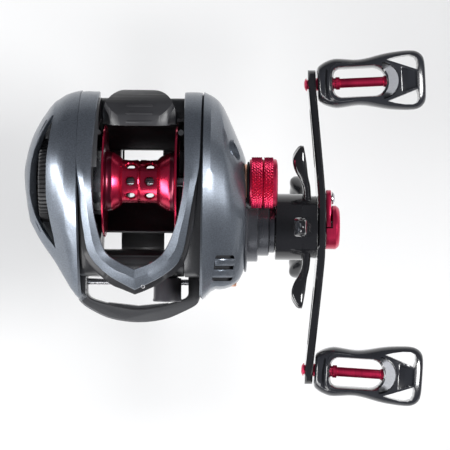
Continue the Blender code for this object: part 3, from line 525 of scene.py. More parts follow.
PALM = [(-18.3, 28.35, -37.7, 46.95, -3.3), (-20.5, 27.9, -35.2, 46.6, -2.6),
        (-23.0, 27.0, -31.0, 46.0, -1.2), (-25.0, 25.6, -27.5, 45.0, 1.4),
        (-27.0, 24.0, -24.3, 43.8, 4.0), (-30.0, 19.6, -20.0, 40.8, 9.2),
        (-32.0, 16.0, -16.2, 38.4, 12.8), (-33.8, 11.6, -12.4, 35.4, 16.6),
        (-35.2, 5.3, -3.4, 31.2, 22.2)]
HANDLE_SIDE = [(19.8, 28.2, -37.0, 47.0, -3.4), (23.0, 26.6, -33.9, 45.9, -3.3),
               (25.4, 24.2, -33.7, 44.4, -2.9), (27.8, 19.5, -33.2, 42.0, -2.2),
               (30.3, 13.9, -31.8, 38.9, -1.0), (31.8, 10.4, -29.6, 36.8, 0.2),
               (32.5, 8.4, -27.8, 35.6, 0.9)]


# ---- Palm side ----
# Edges on the palm side plate as (y, x)
PALM_CREASE = [(-34.0, -19.7), (-25.0, -21.0), (-17.4, -21.7), (-8.0, -22.1), (6.5, -22.0),
               (15.0, -21.0), (22.5, -19.15), (28.0, -18.5)]
PALM_FACET = [(-34.0, -19.4), (-17.9, -20.1), (-17.0, -21.6), (-8.0, -22.0), (6.5, -21.9),
              (15.0, -20.9), (22.5, -19.05), (28.0, -18.45)]
WINDOW_RIGHT = [(-20.8, -25.2), (-17.5, -25.65), (-13.5, -26.45), (-9.6, -27.1),
                (-5.65, -27.65), (0.54, -27.6), (5.15, -27.53), (8.6, -27.2), (10.97, -26.87),
                (15.8, -26.26), (20.1, -25.8)]
WINDOW_LIP = [(-21.0, -25.6), (-18.9, -26.95), (-16.8, -28.5), (-14.4, -29.85),
              (-11.85, -31.2), (-9.5, -32.1), (-7.2, -32.7), (-4.0, -33.25), (0.7, -33.1),
              (5.3, -32.6), (9.26, -31.6), (13.2, -30.1), (17.8, -27.65), (20.06, -25.9)]


def window_black(y):
    """X of the lip's inner edge, below its bevel."""
    arc_x = 11.2 - math.sqrt(42.6 ** 2 - (y + 1.4) ** 2)
    return min(max(lookup(WINDOW_LIP, y) + 0.3, arc_x), lookup(WINDOW_RIGHT, y))


def build_palm_plate():
    shell = Shell(PALM)
    columns = []
    for t in circle(PLATE_COLUMNS):
        upper = math.sin(t) > 0
        crease, facet, right, lip = (shell.reach(t, edge) for edge in (
            PALM_CREASE, PALM_FACET, WINDOW_RIGHT, WINDOW_LIP))
        column = [shell.point(0.0, t)]
        a, b = shell.point(0.0, t), shell.point(facet, t)
        column += [a.lerp(b, 0.35), a.lerp(b, 0.7), b]
        c = shell.point(crease, t)
        column += [b.lerp(c, 0.5), c]
        column += [shell.point(crease + (right - crease) * k, t) for k in (0.2, 0.4, 0.6, 0.8)]
        edge = shell.point(right, t)
        column.append(edge)
        outer = shell.point(lip, t)
        opened = upper and -20.8 < edge.y < 20.1 and edge.x - outer.x > 0.6
        if opened:
            black = window_black(outer.y)
            width = black - outer.x
            column.append(Vector((black, outer.y, outer.z - 0.55 - 0.9 * width)))
            column.append(Vector((outer.x + 0.35 * min(1.0, width), outer.y, outer.z - 0.3)))
            column.append(outer + Vector((0.0, 0.0, -0.06)))
        else:
            column += [edge, shell.point((right + lip) / 2, t), outer]
        last = len(shell.fine) - 1.0
        column += [shell.point(lip + (last - lip) * k, t)
                   for k in (0.06, 0.16, 0.28, 0.4, 0.52, 0.64, 0.76, 0.88, 1.0)]
        column.append(Vector((-35.38, 0.95, 26.7)).lerp(column[-1], 0.5))
        columns.append((opened, column))
    plate = plate_shell("palm_side_plate", [column for _, column in columns], 1.3, 20.0,
                        [opened for opened, _ in columns])
    notch = block("arm_notch", (-20.7, -15.0), (-50.0, -21.0), (-5.0, 9.6))
    combine(plate, [notch], sharp=20.0)
    stud = drum("dial_stud", -34.4, -26.6, 2.0, SPOOL)
    return merged("palm_side_plate_skin", [plate, stud]), columns


plate, palm_columns = build_palm_plate()
shade(plate, 20.0)
dress(plate, "palm_side", SLATE, "slate_paint", "palm_side_plate")


def build_dial_well(columns):
    """The recess walls round the dial, below the window's two edges, in the darker frame paint as
    painted shade.
    """
    parts = []
    for name, row, lean in (("well_right", WINDOW_ROW, 0.25),
                            ("well_left", WINDOW_ROW + 1, 0.1)):
        tops = [c[row] for opened, c in columns if opened]
        rows = []
        for p in tops:
            side = 1.0 if row == WINDOW_ROW else -1.0
            low_z = max(p.z - 9.0, 24.0)
            rows.append([(p.x + 0.05 * side, p.y, p.z - 1.2),
                         (p.x + lean * side, p.y * 0.98, low_z),
                         (p.x + (lean + 0.6) * side, p.y * 0.98, low_z),
                         (p.x + 0.6 * side, p.y, p.z - 1.2)])
        parts.append(grid(name, rows, sharp=30.0))
    return merged("dial_well", parts)


# The recess walls take the darker frame paint instead of the plate's slate: painted shade inside
# the recess
dress(build_dial_well(palm_columns), "palm_side", FRAME_PAINT_AND_SHADE, "slate_paint")


def build_dial():
    ribs, high, root = 60, 12.9, 12.42
    rows = []
    for x, shrink in ((-30.3, 0.5), (-29.9, 0.0), (-27.7, 0.0), (-27.3, 0.5)):
        row = []
        for i in range(ribs):
            for share, radius in ((0.0, root), (0.16, high), (0.52, high), (0.68, root)):
                angle = math.tau * (i + share) / ribs
                smooth_part = 198.0 < math.degrees(angle) < 228.0
                radius = high - 0.1 if smooth_part else radius
                row.append(around("X", SPOOL, x, radius - shrink, angle))
        rows.append(row)
    rim = grid("brake_dial", rows, sharp=28.0)
    hub = drum("dial_hub", -28.0, -23.8, 5.0, SPOOL)
    combine(rim, [drum("dial_bore", -31.0, -22.0, 2.4, SPOOL)], sharp=28.0)
    combine(hub, [drum("dial_bore", -31.0, -22.0, 2.4, SPOOL)])
    return shade(merged("brake_dial_skin", [rim, hub]), 28.0)


dress(build_dial(), "brake_dial", BLACK_PLASTIC, "black_plastic", "brake_dial")


# ---- Handle side plate ----
# Edges as (y, x)
SIDE_SOFT = [(0.0, 22.0)]
SIDE_CREASE = [(-36.0, 22.0), (-29.0, 23.0), (-22.5, 24.7), (-17.5, 26.6), (-10.8, 27.7),
               (-5.6, 27.7), (2.8, 27.2), (14.9, 26.4), (24.1, 24.4), (28.0, 22.5)]


def vent_rib(shell, y0, x0, x1, half_width):
    """A raised bar along X across the vent."""
    rows = []
    for k in range(9):
        x = x0 + (x1 - x0) * k / 8
        high = 1.3 * math.sin(math.pi * (0.08 + 0.84 * k / 8)) ** 0.4
        row = []
        for t in circle(16):
            y = y0 + half_width * swell(math.cos(t), 0.6)
            row.append((x, y, shell.height(x, y) - 0.75 + high * swell(math.sin(t), 0.6)))
        rows.append(row)
    return grid("vent_rib", rows, sharp=30.0)


def build_handle_plate():
    shell = Shell(HANDLE_SIDE)
    last = len(shell.fine) - 1.0
    columns = []
    for t in circle(PLATE_COLUMNS):
        soft = shell.reach(t, SIDE_SOFT)
        crease = max(soft + 0.5, shell.reach(t, SIDE_CREASE))
        a, b, c = (shell.point(s, t) for s in (0.0, soft, crease))
        column = [a, a.lerp(b, 0.5), b]
        column += [b.lerp(c, k) for k in (0.25, 0.5, 0.75, 1.0)]
        column += [shell.point(crease + (last - crease) * k, t)
                   for k in (0.1, 0.22, 0.34, 0.46, 0.58, 0.7, 0.82, 0.92, 1.0)]
        end = column[-1]
        middle = Vector((32.85, (8.4 - 27.8) / 2, 18.0))
        column.append(Vector((32.8, end.y, end.z)).lerp(middle, 0.05))
        column.append(Vector((32.85, end.y, end.z)).lerp(middle, 0.12))
        columns.append(column)
    plate = plate_shell("handle_side_plate", columns, 1.4, 18.0)
    cutters = [drum("shaft_bore", 28.0, 35.0, 2.2, SPOOL),
               drum("drive_bore", 28.0, 35.0, 6.7, DRIVE),
               drum("screw_recess", 26.0, 36.0, 2.9, PLATE_SCREW),
               drum("port_recess", 22.0, 40.0, 2.6, OIL_PORT)]
    vent = [(24.2, -22.5), (29.2, -22.5), (29.6, -23.0), (29.0, -30.1), (28.4, -30.5),
            (23.2, -30.5), (22.8, -30.1), (23.8, -22.9)]
    cutters.append(prism("vent", vent, 19.0, 44.0, "Z"))
    combine(plate, cutters, sharp=18.0)
    bosses = [turned("cap_boss", [(30.0, 4.1), (30.0, 4.65), (38.4, 4.65), (38.6, 4.45),
                                  (38.6, 4.1)], SPOOL),
              turned("drive_boss", [(29.4, 6.7), (29.4, 8.6), (32.0, 8.6), (32.0, 6.7)], DRIVE),
              turned("screw_seat", [(25.0, 1.5), (25.0, 3.6), (29.0, 3.6), (29.0, 2.9),
                                    (26.0, 2.9), (26.0, 1.5)], PLATE_SCREW)]
    ribs = [vent_rib(shell, -24.6, 23.7, 29.9, 1.2), vent_rib(shell, -28.1, 22.7, 29.3, 1.35)]
    return shade(merged("handle_side_plate_skin", [plate] + bosses + ribs), 18.0)


def build_vent_floor():
    """The floor under the vent, dark in the frame paint as painted shade in the pocket."""
    shell = Shell(HANDLE_SIDE)
    xs = [22.2 + 1.0 * k for k in range(9)]
    rows = []
    for y in [-31.2 + 0.95 * k for k in range(11)]:
        top = [(x, y, shell.height(x, y) - 2.3) for x in xs]
        rows.append(top + [(x, y, z - 0.5) for x, y, z in reversed(top)])
    return grid("vent_floor", rows, sharp=40.0)


dress(build_handle_plate(), "reel_frame", SLATE, "slate_paint", "handle_side_plate")
# The vent floor takes the darker frame paint instead of slate: painted shade under the ribs
dress(build_vent_floor(), "reel_frame", FRAME_PAINT_AND_SHADE, "slate_paint")


# ---- Hood and the cover under its nose ----
# Side outline of the hood: rear, front, top, bottom
HOOD = (28.1, -34.6, 47.0, -1.5)
# Past this share of its reach the nose goes on straight, at this slope
NOSE_LIMIT = 0.93
NOSE_SLOPE = 0.67


def strap_point(x, y, depth):
    """A point on the band that follows the reel's side outline, sunk by depth."""
    rear, front, top, bottom = HOOD
    middle = outline_middle(rear, front)
    behind = y >= middle
    if not behind:
        middle -= (1.0 - 2.0 * REAR_SHARE) * depth
    reach = rear - middle if behind else middle - front - depth
    t = math.acos(max(-NOSE_LIMIT, min(1.0, (y - middle) / reach)))
    py, pz = outline_point(rear - depth, front + depth, top - depth, bottom + depth, t,
                           HOOD_DROP)
    beyond = min(0.0, y - (middle - NOSE_LIMIT * reach))
    return (x, py if behind else y, pz + NOSE_SLOPE * beyond)


def rear_rows(xs):
    """Path rows down the reel's back, where y hardly changes. xs gives x for each line."""
    rear, front = HOOD[:2]
    middle = outline_middle(rear, front)
    turned_to = [math.radians(5.0 + 57.0 * i / 16) for i in range(16)]
    ys = [middle + (rear - middle) * math.cos(t) for t in turned_to]
    return [[(lookup(line, y), y) for line in xs] for y in ys]


def between(a, b, share):
    """A place in plan on the way from a to b."""
    return a[0] + share * (b[0] - a[0]), a[1] + share * (b[1] - a[1])


# (x, y) of the outer edge, the ridge and the inner edge in plan, from the left arm round the
# nose to the right arm
HOOD_LEFT = [
    (-18.3, 15.0, -16.3, 15.0, -13.1, 15.3),
    (-18.35, 5.2, -16.3, 5.0, -13.6, 4.8),
    (-17.6, -3.0, -15.7, -2.7, -13.45, -3.6),
    (-17.0, -9.6, -14.8, -9.4, -12.95, -9.7),
    (-16.2, -15.8, -14.0, -15.2, -11.7, -15.8),
    (-15.3, -21.0, -13.0, -20.0, -10.3, -20.3),
    (-13.15, -24.9, -11.2, -23.5, -8.6, -22.8),
    (-9.0, -28.8, -7.4, -26.8, -5.0, -25.1),
    (-4.9, -31.3, -3.7, -28.5, -2.6, -26.2),
]
HOOD_NOSE = (-0.9, -33.4, -0.8, -29.8, -0.9, -26.9)
HOOD_RIGHT = [
    (3.1, -31.5, 2.3, -28.5, 1.0, -26.2),
    (7.3, -29.2, 5.9, -26.8, 3.8, -25.1),
    (11.6, -25.8, 9.7, -23.5, 7.2, -22.6),
    (13.8, -21.8, 11.9, -20.0, 9.2, -19.6),
    (15.0, -16.5, 13.1, -15.2, 11.0, -15.4),
    (16.2, -9.2, 14.5, -9.4, 12.6, -9.6),
    (17.4, -2.7, 15.6, -2.7, 13.8, -3.0),
    (18.7, 4.6, 16.5, 5.0, 14.2, 5.0),
    (19.0, 15.0, 16.7, 15.0, 14.0, 15.3),
]
# The same three lines down the back, as (y, x)
BACK_LEFT = ([(12.0, -18.3), (28.1, -18.3)], [(12.0, -16.3), (28.1, -16.0)],
             [(12.0, -13.3), (15.3, -13.1), (28.1, -12.5)])
BACK_RIGHT = ([(12.0, 18.9), (28.1, 19.3)], [(12.0, 16.7), (28.1, 16.6)],
              [(12.0, 14.0), (28.1, 13.8)])


def round_nose(left, nose, right):
    """A smooth path down the left, to a corner at the nose and up the right, in pairs."""
    path = smooth_path(left + [nose], 5) + smooth_path([nose] + right, 5)[1:]
    return [list(zip(station[0::2], station[1::2])) for station in path]


def screw_hole(obj, sharp):
    """Bore the hood screw's hole."""
    return combine(obj, [drum("screw_hole", 14.0, 40.0, 0.6, HOOD_SCREW, "Z", 24)],
                   sharp=sharp)


def build_hood():
    rows = []
    for outer, ridge, inner in (rear_rows(BACK_LEFT)
                                + round_nose(HOOD_LEFT, HOOD_NOSE, HOOD_RIGHT)
                                + rear_rows(BACK_RIGHT)[::-1]):
        # The edges fall furthest below the ridge along the left, less at the nose and right
        fade = smoothstep(6.0, -4.0, ridge[1])
        drop = 0.12 + 1.1 * fade - 0.55 * smoothstep(-22.0, -29.0, ridge[1])
        drop -= 0.62 * fade * smoothstep(0.0, 9.0, ridge[0])
        rows.append([
            strap_point(*outer, 1.9),
            strap_point(*outer, 0.3 + drop),
            strap_point(*between(outer, ridge, 0.06), 0.06 + drop * 0.94),
            strap_point(*between(outer, ridge, 0.5), drop * 0.5),
            strap_point(*ridge, 0.0),
            strap_point(*between(ridge, inner, 0.5), drop * 0.42),
            strap_point(*between(inner, ridge, 0.08), drop * 0.8),
            strap_point(*inner, 0.25 + drop * 0.85),
            strap_point(*inner, 1.9),
        ])
    return screw_hole(grid("hood_skin", rows), 16.0)


dress(build_hood(), "reel_frame", SLATE, "slate_paint", "hood")

# (x, y) of the cover's outer and inner edge
COVER_LEFT = [
    (-17.9, 5.0, -16.5, 5.0), (-17.8, -6.0, -15.0, -6.0),
    (-17.5, -16.0, -13.0, -14.5), (-16.2, -23.0, -11.5, -20.0),
    (-13.4, -27.1, -10.0, -22.8), (-8.5, -31.6, -6.5, -25.4),
    (-4.8, -33.3, -3.4, -27.2),
]
COVER_NOSE = (-0.9, -34.9, -0.9, -28.3)
COVER_RIGHT = [
    (2.8, -33.4, 2.2, -27.2), (6.2, -31.6, 5.4, -25.6), (12.3, -27.2, 9.0, -22.6),
    (14.9, -23.2, 11.0, -19.6), (16.6, -16.0, 12.6, -14.5),
    (18.0, -6.0, 14.8, -6.0), (18.9, 4.4, 17.2, 4.4),
]


def build_nose_cover():
    rows = []
    for outer, inner in round_nose(COVER_LEFT, COVER_NOSE, COVER_RIGHT):
        rows.append([
            strap_point(*outer, 3.3), strap_point(*outer, 2.3),
            strap_point(*between(outer, inner, 0.1), 1.95),
            strap_point(*inner, 1.95), strap_point(*inner, 3.3),
        ])
    return screw_hole(grid("nose_cover_skin", rows), 28.0)


dress(build_nose_cover(), "reel_frame", COVER_PAINT, "dark_frame_paint", "nose_cover")

dress(turned("hood_screw", [(32.4, 0), (32.4, 0.45), (34.5, 0.45), (34.7, 0.3), (34.7, 0)],
             HOOD_SCREW, "Z", 24), "reel_frame", STEEL_UPRIGHT, "steel", "hood_screw")


# ---- Frame ----
CRADLE_RADIUS = 18.6
CRADLE_X = (-13.7, 15.2)
# X, y and z ranges of the slot through the front of the cradle and the foot
DRAIN_SLOT = ((-4.4, 5.1), (-6.3, -2.9), (-2.0, 14.0))
FOOT_MIDDLE_X = 0.15
# (x, y) of the front bar's two sides
BAR_OUTER = [(-20.3, -34.5), (-19.6, -37.9), (-15.6, -40.9), (-9.2, -43.6), (-0.9, -44.6),
             (7.4, -43.6), (13.8, -41.0), (17.9, -38.6), (18.9, -36.0)]
BAR_INNER = [(15.1, -34.0), (14.9, -35.9), (13.0, -37.3), (6.0, -39.3), (-0.9, -40.2),
             (-7.6, -39.3), (-15.0, -37.4), (-17.0, -35.8), (-17.2, -34.0)]


def front_bar():
    outer = [(-20.3, -22.0)] + smooth_path(BAR_OUTER, 6) + [(18.9, -22.0)]
    inner = [(15.0, -22.0)] + smooth_path(BAR_INNER, 6) + [(-17.2, -28.0), (-14.5, -26.0),
                                                           (-14.5, -22.0)]
    return prism("front_bar", outer + inner, 2.0, 9.2, "Z")


def build_frame():
    ring = side_outline(26.1, -29.9, 45.1, 0.4, 128)
    left = prism("ring_left", ring, -18.2, -12.2)
    combine(left, [drum("spool_bore", -19.0, -11.0, 18.5, SPOOL, steps=96),
                   drum("worm_hole", -19.0, -11.0, 3.3, WORM)])
    right = prism("ring_right", ring, 14.2, 19.5)
    combine(right, [prism("gear_room", side_outline(24.1, -27.9, 43.1, 2.4, 96), 16.2, 22.0),
                    drum("pinion_hole", 12.0, 17.5, 3.6, SPOOL),
                    drum("worm_hole", 12.0, 18.2, 3.3, WORM),
                    block("tab_slot", (13.0, 17.5), (18.6, 21.8), (28.7, 34.8))])
    under = arc(SPOOL, CRADLE_RADIUS, 214.0, 279.3, 40)
    front = prism("cradle_front", under + [(3.0, 3.3), (-12.0, 3.3), (-15.0, 9.0),
                                           (-16.0, 15.8)], *CRADLE_X)
    combine(front, [block("drain_slot", *DRAIN_SLOT)])
    behind = arc(SPOOL, CRADLE_RADIUS, -55.8, 3.0, 40)
    back = prism("cradle_rear", behind + smooth_path(
        [(20.5, 28.0), (25.6, 24.8), (25.9, 18.0), (24.5, 9.0), (20.5, 3.3)], 5)
        + [(14.0, 3.3), (10.4, 6.5)], *CRADLE_X)
    bar = front_bar()
    bridge = prism("bar_step", [(-10.5, -40.6), (-0.9, -41.6), (8.7, -40.6), (8.7, -38.4),
                                (-0.9, -39.4), (-10.5, -38.4)], 3.0, 8.2, "Z")
    parts = [bevel(part, width, 3, 40.0, 35.0) for part, width in (
        (left, 0.45), (right, 0.45), (front, 0.5), (back, 0.5), (bar, 0.6))]
    bosses = [drum("arm_boss", 36.0, 41.5, 0.85, (x, 14.6), "Z", 24) for x in (-12.3, 13.0)]
    sill = [(2.6, 3.3), (11.6, 3.3), (11.6, 8.4), (10.2, 9.0), (2.6, 8.2)]
    sills = [prism("cradle_sill", sill, *xs) for xs in ((-13.6, -6.9), (6.9, 15.1))]
    return shade(merged("frame_skin", parts + [bridge] + bosses + sills), 35.0)


dress(build_frame(), "reel_frame", FRAME_PAINT_AND_SHADE, "dark_frame_paint", "frame")


def build_foot():
    side = [(-28.0, 0.0), (28.0, 0.0), (28.0, 0.7)]
    side += smooth_path([(28.0, 0.9), (24.0, 1.5), (18.5, 3.0)], 5)
    side += smooth_path([(-18.5, 3.0), (-24.0, 1.5), (-28.0, 0.9)], 5)
    foot = prism("reel_foot_skin", side, -6.8, 7.1)
    ends = (arc((FOOT_MIDDLE_X, 21.2), 6.85, 0.0, 180.0, 24)
            + arc((FOOT_MIDDLE_X, -21.2), 6.85, 180.0, 360.0, 24))
    plan = prism("foot_plan", ends, -1.0, 4.0, "Z")
    combine(foot, [plan], "INTERSECT")
    slot = [(-6.2, 4.8), (6.4, 4.8), (6.4, 10.6), (4.8, 12.2), (-4.6, 12.2), (-6.2, 10.6)]
    cutters = [prism("foot_slot", slot, -2.0, 5.0, "Z"), block("drain_slot", *DRAIN_SLOT)]
    for y in (-9.0, 18.0):
        cutters.append(drum("foot_hole", -2.0, 5.0, 1.4, (FOOT_MIDDLE_X, y), "Z"))
        cutters.append(drum("foot_counterbore", -2.0, 1.7, 2.5, (FOOT_MIDDLE_X, y), "Z"))
    combine(foot, cutters)
    return bevel(foot, 0.25, 2, 40.0)


dress(build_foot(), "reel_frame", BLACK_PLASTIC, "black_plastic", "reel_foot")


# ---- Thumb bar ----
def build_thumb_bar():
    top = smooth_path([(16.5, 42.15), (18.2, 42.3), (20.6, 41.4), (24.5, 38.4), (27.6, 33.4),
                       (28.2, 29.8)], 8)
    side = top + [(26.6, 29.2), (22.0, 33.6), (21.4, 32.6), (18.9, 32.6), (17.6, 35.0)]
    bar = prism("thumb_bar_skin", side, -11.3, 11.7)
    section = [(-11.35, 28.0)] + smooth_path(
        [(-11.35, 34.0), (-10.9, 37.4), (-8.9, 40.5), (-5.2, 42.2), (0.1, 42.45), (5.5, 42.2),
         (9.2, 40.5), (11.2, 37.4), (11.75, 34.0)], 8) + [(11.75, 28.0)]
    lower = [(-11.45, 12.0)] + smooth_path(
        [(-11.45, 17.0), (-11.2, 20.8), (-9.8, 24.2), (-7.8, 26.6), (-5.0, 28.0), (0.1, 28.35),
         (4.9, 28.0), (7.6, 27.0), (9.7, 24.9), (11.3, 21.1), (11.85, 17.0)], 8)
    lower.append((11.85, 12.0))
    combine(bar, [prism("bar_section", section, 10.0, 32.0, "Y")], "INTERSECT")
    combine(bar, [prism("bar_plan", lower, 25.0, 45.0, "Z")], "INTERSECT")
    for sign, edge in ((-1, -11.6), (1, 12.0)):
        panel = [(edge, 16.0), (edge - sign * 3.1, 17.2), (edge - sign * 2.6, 19.8),
                 (edge, 24.2)]
        combine(bar, [prism("side_panel", panel, 37.4, 45.0, "Z")])
    bar = bevel(bar, 0.35, 3, 30.0, 30.0)
    ribs = []
    for y in (22.5, 20.1, 17.7):
        z = lookup(top, y)
        ribs.append(grid("thumb_rib", [
            [(x, y + 0.55 * math.cos(t) * k, z - 0.28 + 0.42 * math.sin(t) * k)
             for t in circle(12)]
            for x, k in ((-3.9, 0.2), (-3.7, 0.8), (-3.3, 1.0), (3.9, 1.0), (4.3, 0.8),
                         (4.5, 0.2))]))
    tab = block("clutch_tab", (10.0, 16.4), (19.2, 21.2), (32.7, 34.3))
    return shade(merged("thumb_bar_all", [bar, tab] + ribs), 30.0)


dress(build_thumb_bar(), "thumb_bar", CHARCOAL, "charcoal_plastic", "thumb_bar")


# ---- Spool ----
PORTS_X = (-2.6, 3.3)


def build_drum():
    """The arbour between the flanges, with its groove and see-through ports."""
    left = smooth_path([(-8.4, 9.05), (-7.9, 8.9), (-6.1, 7.8), (-5.5, 7.2)], 4)
    right = smooth_path([(6.0, 7.2), (6.7, 7.8), (9.0, 8.9), (9.6, 9.05)], 4)
    groove = [(-0.45, 6.7), (-0.25, 6.45), (0.0, 6.35), (0.25, 6.45), (0.45, 6.7)]
    profile = left + [(-5.15, 6.75), (-4.9, 6.7)] + groove + [(5.3, 6.7), (5.55, 6.75)] + right
    profile += [(9.6, 8.0), (9.0, 7.6), (9.0, 1.9), (7.8, 1.9), (7.8, 7.2), (5.2, 5.8),
                (-5.0, 5.8), (-7.6, 7.6), (-8.4, 7.9)]
    spool = turned("spool_skin", profile, SPOOL, steps=112)
    cutters = []
    for x in PORTS_X:
        for turn in range(4):
            rows = []
            angle = math.radians(45 * turn)
            along = Vector((0.0, math.sin(angle), math.cos(angle)))
            across = Vector((0.0, math.cos(angle), -math.sin(angle)))
            # Straight through the arbour, flared at its surface
            for reach, radius in ((-7.4, 2.1), (-6.2, 1.35), (6.2, 1.35), (7.4, 2.1)):
                middle = Vector((x, SPOOL[0], SPOOL[1])) + along * reach
                rows.append([middle + Vector((radius * math.cos(t), 0, 0))
                             + across * radius * math.sin(t) for t in circle(20)])
            cutters.append(grid("port", rows))
    return combine(spool, cutters, sharp=28.0)


def build_flanges():
    """The two flanges, each from the arbour out to its rolled lip."""
    left = [(-10.8, 16.6), (-10.35, 16.6)] + smooth_path(
        [(-10.28, 10.6), (-10.1, 9.8), (-9.5, 9.35), (-8.42, 9.1)], 4)
    left += [(-8.42, 7.9), (-10.3, 8.6), (-10.8, 9.7)]
    right = [(11.8, 16.6), (11.25, 16.6)] + smooth_path(
        [(11.18, 10.6), (11.0, 9.8), (10.5, 9.35), (9.62, 9.1)], 4)
    right += [(9.62, 8.0), (11.3, 8.7), (11.8, 9.8)]
    return merged("spool_flanges", [turned("flange", p, SPOOL, steps=112, sharp=28.0)
                                    for p in (left, right)])


def build_lips():
    """The flanges' rolled lips."""
    # Left and right
    profiles = ([(-10.9, 16.5), (-10.95, 17.0), (-10.8, 17.3), (-10.45, 17.3), (-10.28, 17.0),
                 (-10.32, 16.5)],
                [(11.22, 16.5), (11.18, 17.0), (11.35, 17.3), (11.8, 17.3), (11.92, 17.0),
                 (11.87, 16.5)])
    return merged("spool_lips", [turned("lip", p, SPOOL, steps=112) for p in profiles])


dress(build_drum(), "spool", RED, "red_anodised", "spool")
# The flanges take the darker red copy: painted shade on the flanges beside the arbour
dress(build_flanges(), "spool", RED_PAINTED_SHADE, "red_anodised")
dress(build_lips(), "spool", RED, "red_anodised")

shaft = turned("spool_shaft_skin", [(-20.3, 0), (-20.3, 1.0), (-20.1, 1.2), (-15.0, 1.2),
                                    (-14.4, 1.6), (14.0, 1.6), (14.4, 1.0), (39.2, 1.0),
                                    (39.2, 0)], SPOOL, steps=32)
pin = drum("cross_pin", SPOOL[1] - 2.7, SPOOL[1] + 2.7, 0.45, (17.7, 0.0), "Z", 16)
dress(merged("spool_shaft_all", [shaft, pin]), "spool", STEEL, "steel", "spool_shaft")


# ---- Cast control cap and the rings under it ----
def knurl(name, low, high, radius, centre, depth, teeth, steps_along):
    """A band of crossed grooves that leave small diamonds."""
    slope = teeth / (radius * 1.1)
    rows = []
    for k in range(steps_along + 1):
        x = low + (high - low) * k / steps_along
        row = []
        for angle in circle(teeth * 8):
            a = abs(math.sin((teeth * angle + slope * (x - low)) / 2))
            b = abs(math.sin((teeth * angle - slope * (x - low)) / 2))
            r = radius - depth * (1.0 - min(a, b))
            row.append(around("X", centre, x, r, angle))
        rows.append(row)
    return grid(name, rows, caps=False, sharp=180.0, merge=False)


def build_cap():
    bands = [knurl("cap_band", 34.7, 37.9, 7.95, SPOOL, 0.5, 48, 30),
             knurl("cap_band", 38.6, 41.3, 7.95, SPOOL, 0.5, 48, 26)]
    profile = [(34.05, 5.0), (34.05, 7.0), (34.15, 7.2), (34.6, 7.3), (34.7, 7.5),
               (37.9, 7.5), (38.05, 7.35), (38.25, 7.15), (38.45, 7.35), (38.6, 7.5),
               (41.3, 7.5), (41.4, 7.4), (41.5, 7.4), (42.2, 7.35), (42.5, 7.0),
               (42.7, 6.2), (42.7, 0), (40.9, 0), (40.9, 5.0)]
    body = turned("cap_body", profile, SPOOL, steps=128, sharp=28.0)
    return merged("cast_control_cap_skin", [body] + bands)


cap = build_cap()
shade(cap, 40.0)
dress(cap, "cast_cap", RED_FINE, "red_anodised", "cast_control_cap")
dress(turned("cap_copper_ring_skin", [(32.5, 4.95), (32.5, 5.5), (32.6, 5.75), (33.15, 5.75),
                                      (33.3, 5.55), (33.3, 4.95)], SPOOL, steps=96),
      "reel_frame", COPPER, "copper_anodised", "cap_copper_ring")
dress(turned("cap_rubber_ring_skin", [(33.35, 4.95), (33.35, 6.1), (33.45, 6.45), (33.65, 6.5),
                                      (33.85, 6.45), (33.98, 6.1), (33.98, 4.95)], SPOOL,
             steps=96), "reel_frame", RUBBER, "black_rubber", "cap_rubber_ring")


# ---- Drive collar, star drag, handle ----
def build_collar():
    profile = [(32.8, 6.8), (32.8, 14.2), (32.95, 14.4), (33.3, 14.4), (33.45, 14.2),
               (33.7, 11.2), (33.8, 11.1), (36.6, 11.1), (36.9, 10.8), (36.9, 9.3),
               (37.0, 9.2), (40.1, 9.2), (40.4, 8.9), (40.4, 8.3), (40.5, 8.2), (42.0, 8.2),
               (42.3, 7.9), (42.3, 4.3), (40.6, 4.3), (40.6, 6.8)]
    collar = turned("drive_collar_skin", profile, DRIVE, steps=112, sharp=25.0)
    return combine(collar, [drum("cap_clearance", 31.0, 44.0, 8.3, SPOOL, steps=96)],
                   sharp=25.0)


dress(build_collar(), "reel_frame", COLLAR_METAL, "gloss_black_metal", "drive_collar")


def star_arm(angle):
    """One paddle, lofted outwards from the hub: reach, near and far x, half width."""
    sections = smooth_path([
        (6.0, 50.7, 53.6, 3.6), (10.5, 50.9, 53.5, 2.9), (13.7, 50.6, 53.2, 2.6),
        (16.2, 49.3, 52.8, 2.6), (18.5, 47.8, 52.5, 2.9), (20.9, 46.9, 52.2, 3.0),
        (22.8, 46.9, 51.9, 2.9), (24.4, 47.6, 51.6, 2.5), (25.8, 48.6, 51.3, 1.8),
        (26.5, 49.5, 51.0, 0.6)], 4)
    turn = math.radians(angle)
    outward = Vector((0, math.cos(turn), math.sin(turn)))
    across = Vector((0, -math.sin(turn), math.cos(turn)))
    centre = Vector((0, *DRIVE))
    rows = []
    for reach, near, far, half in sections:
        middle = centre + outward * reach
        mx, hx = (near + far) / 2, (far - near) / 2
        row = []
        for t in circle(24, 0.5):
            c, s = math.cos(t), math.sin(t)
            x = mx + hx * swell(c, 0.62)
            # The outer part is hollowed along its middle
            valley = 0.9 * (1.0 - abs(s)) * smoothstep(13.0, 18.0, reach)
            x += valley if c < 0 else -0.35 * valley
            row.append(middle + Vector((x, 0, 0)) + across * half * swell(s, 0.7))
        rows.append(row)
    return grid("star_arm", rows, sharp=40.0)


def build_star():
    profile = [(42.4, 6.5), (42.4, 10.3), (42.6, 10.5), (50.6, 10.5), (50.9, 10.3),
               (53.1, 9.95), (53.3, 9.9), (55.2, 9.9), (55.4, 9.7), (55.4, 2.3), (46.0, 2.3),
               (46.0, 6.5)]
    star = turned("star_hub", profile, DRIVE, steps=96, sharp=25.0)
    arms = [star_arm(90 + 72 * i) for i in range(5)]
    return shade(merged("star_drag_skin", [star] + arms), 30.0)


dress(build_star(), "star", BLACK_METAL, "gloss_black_metal", "star_drag")


ARM_STRAIGHT = 9.0


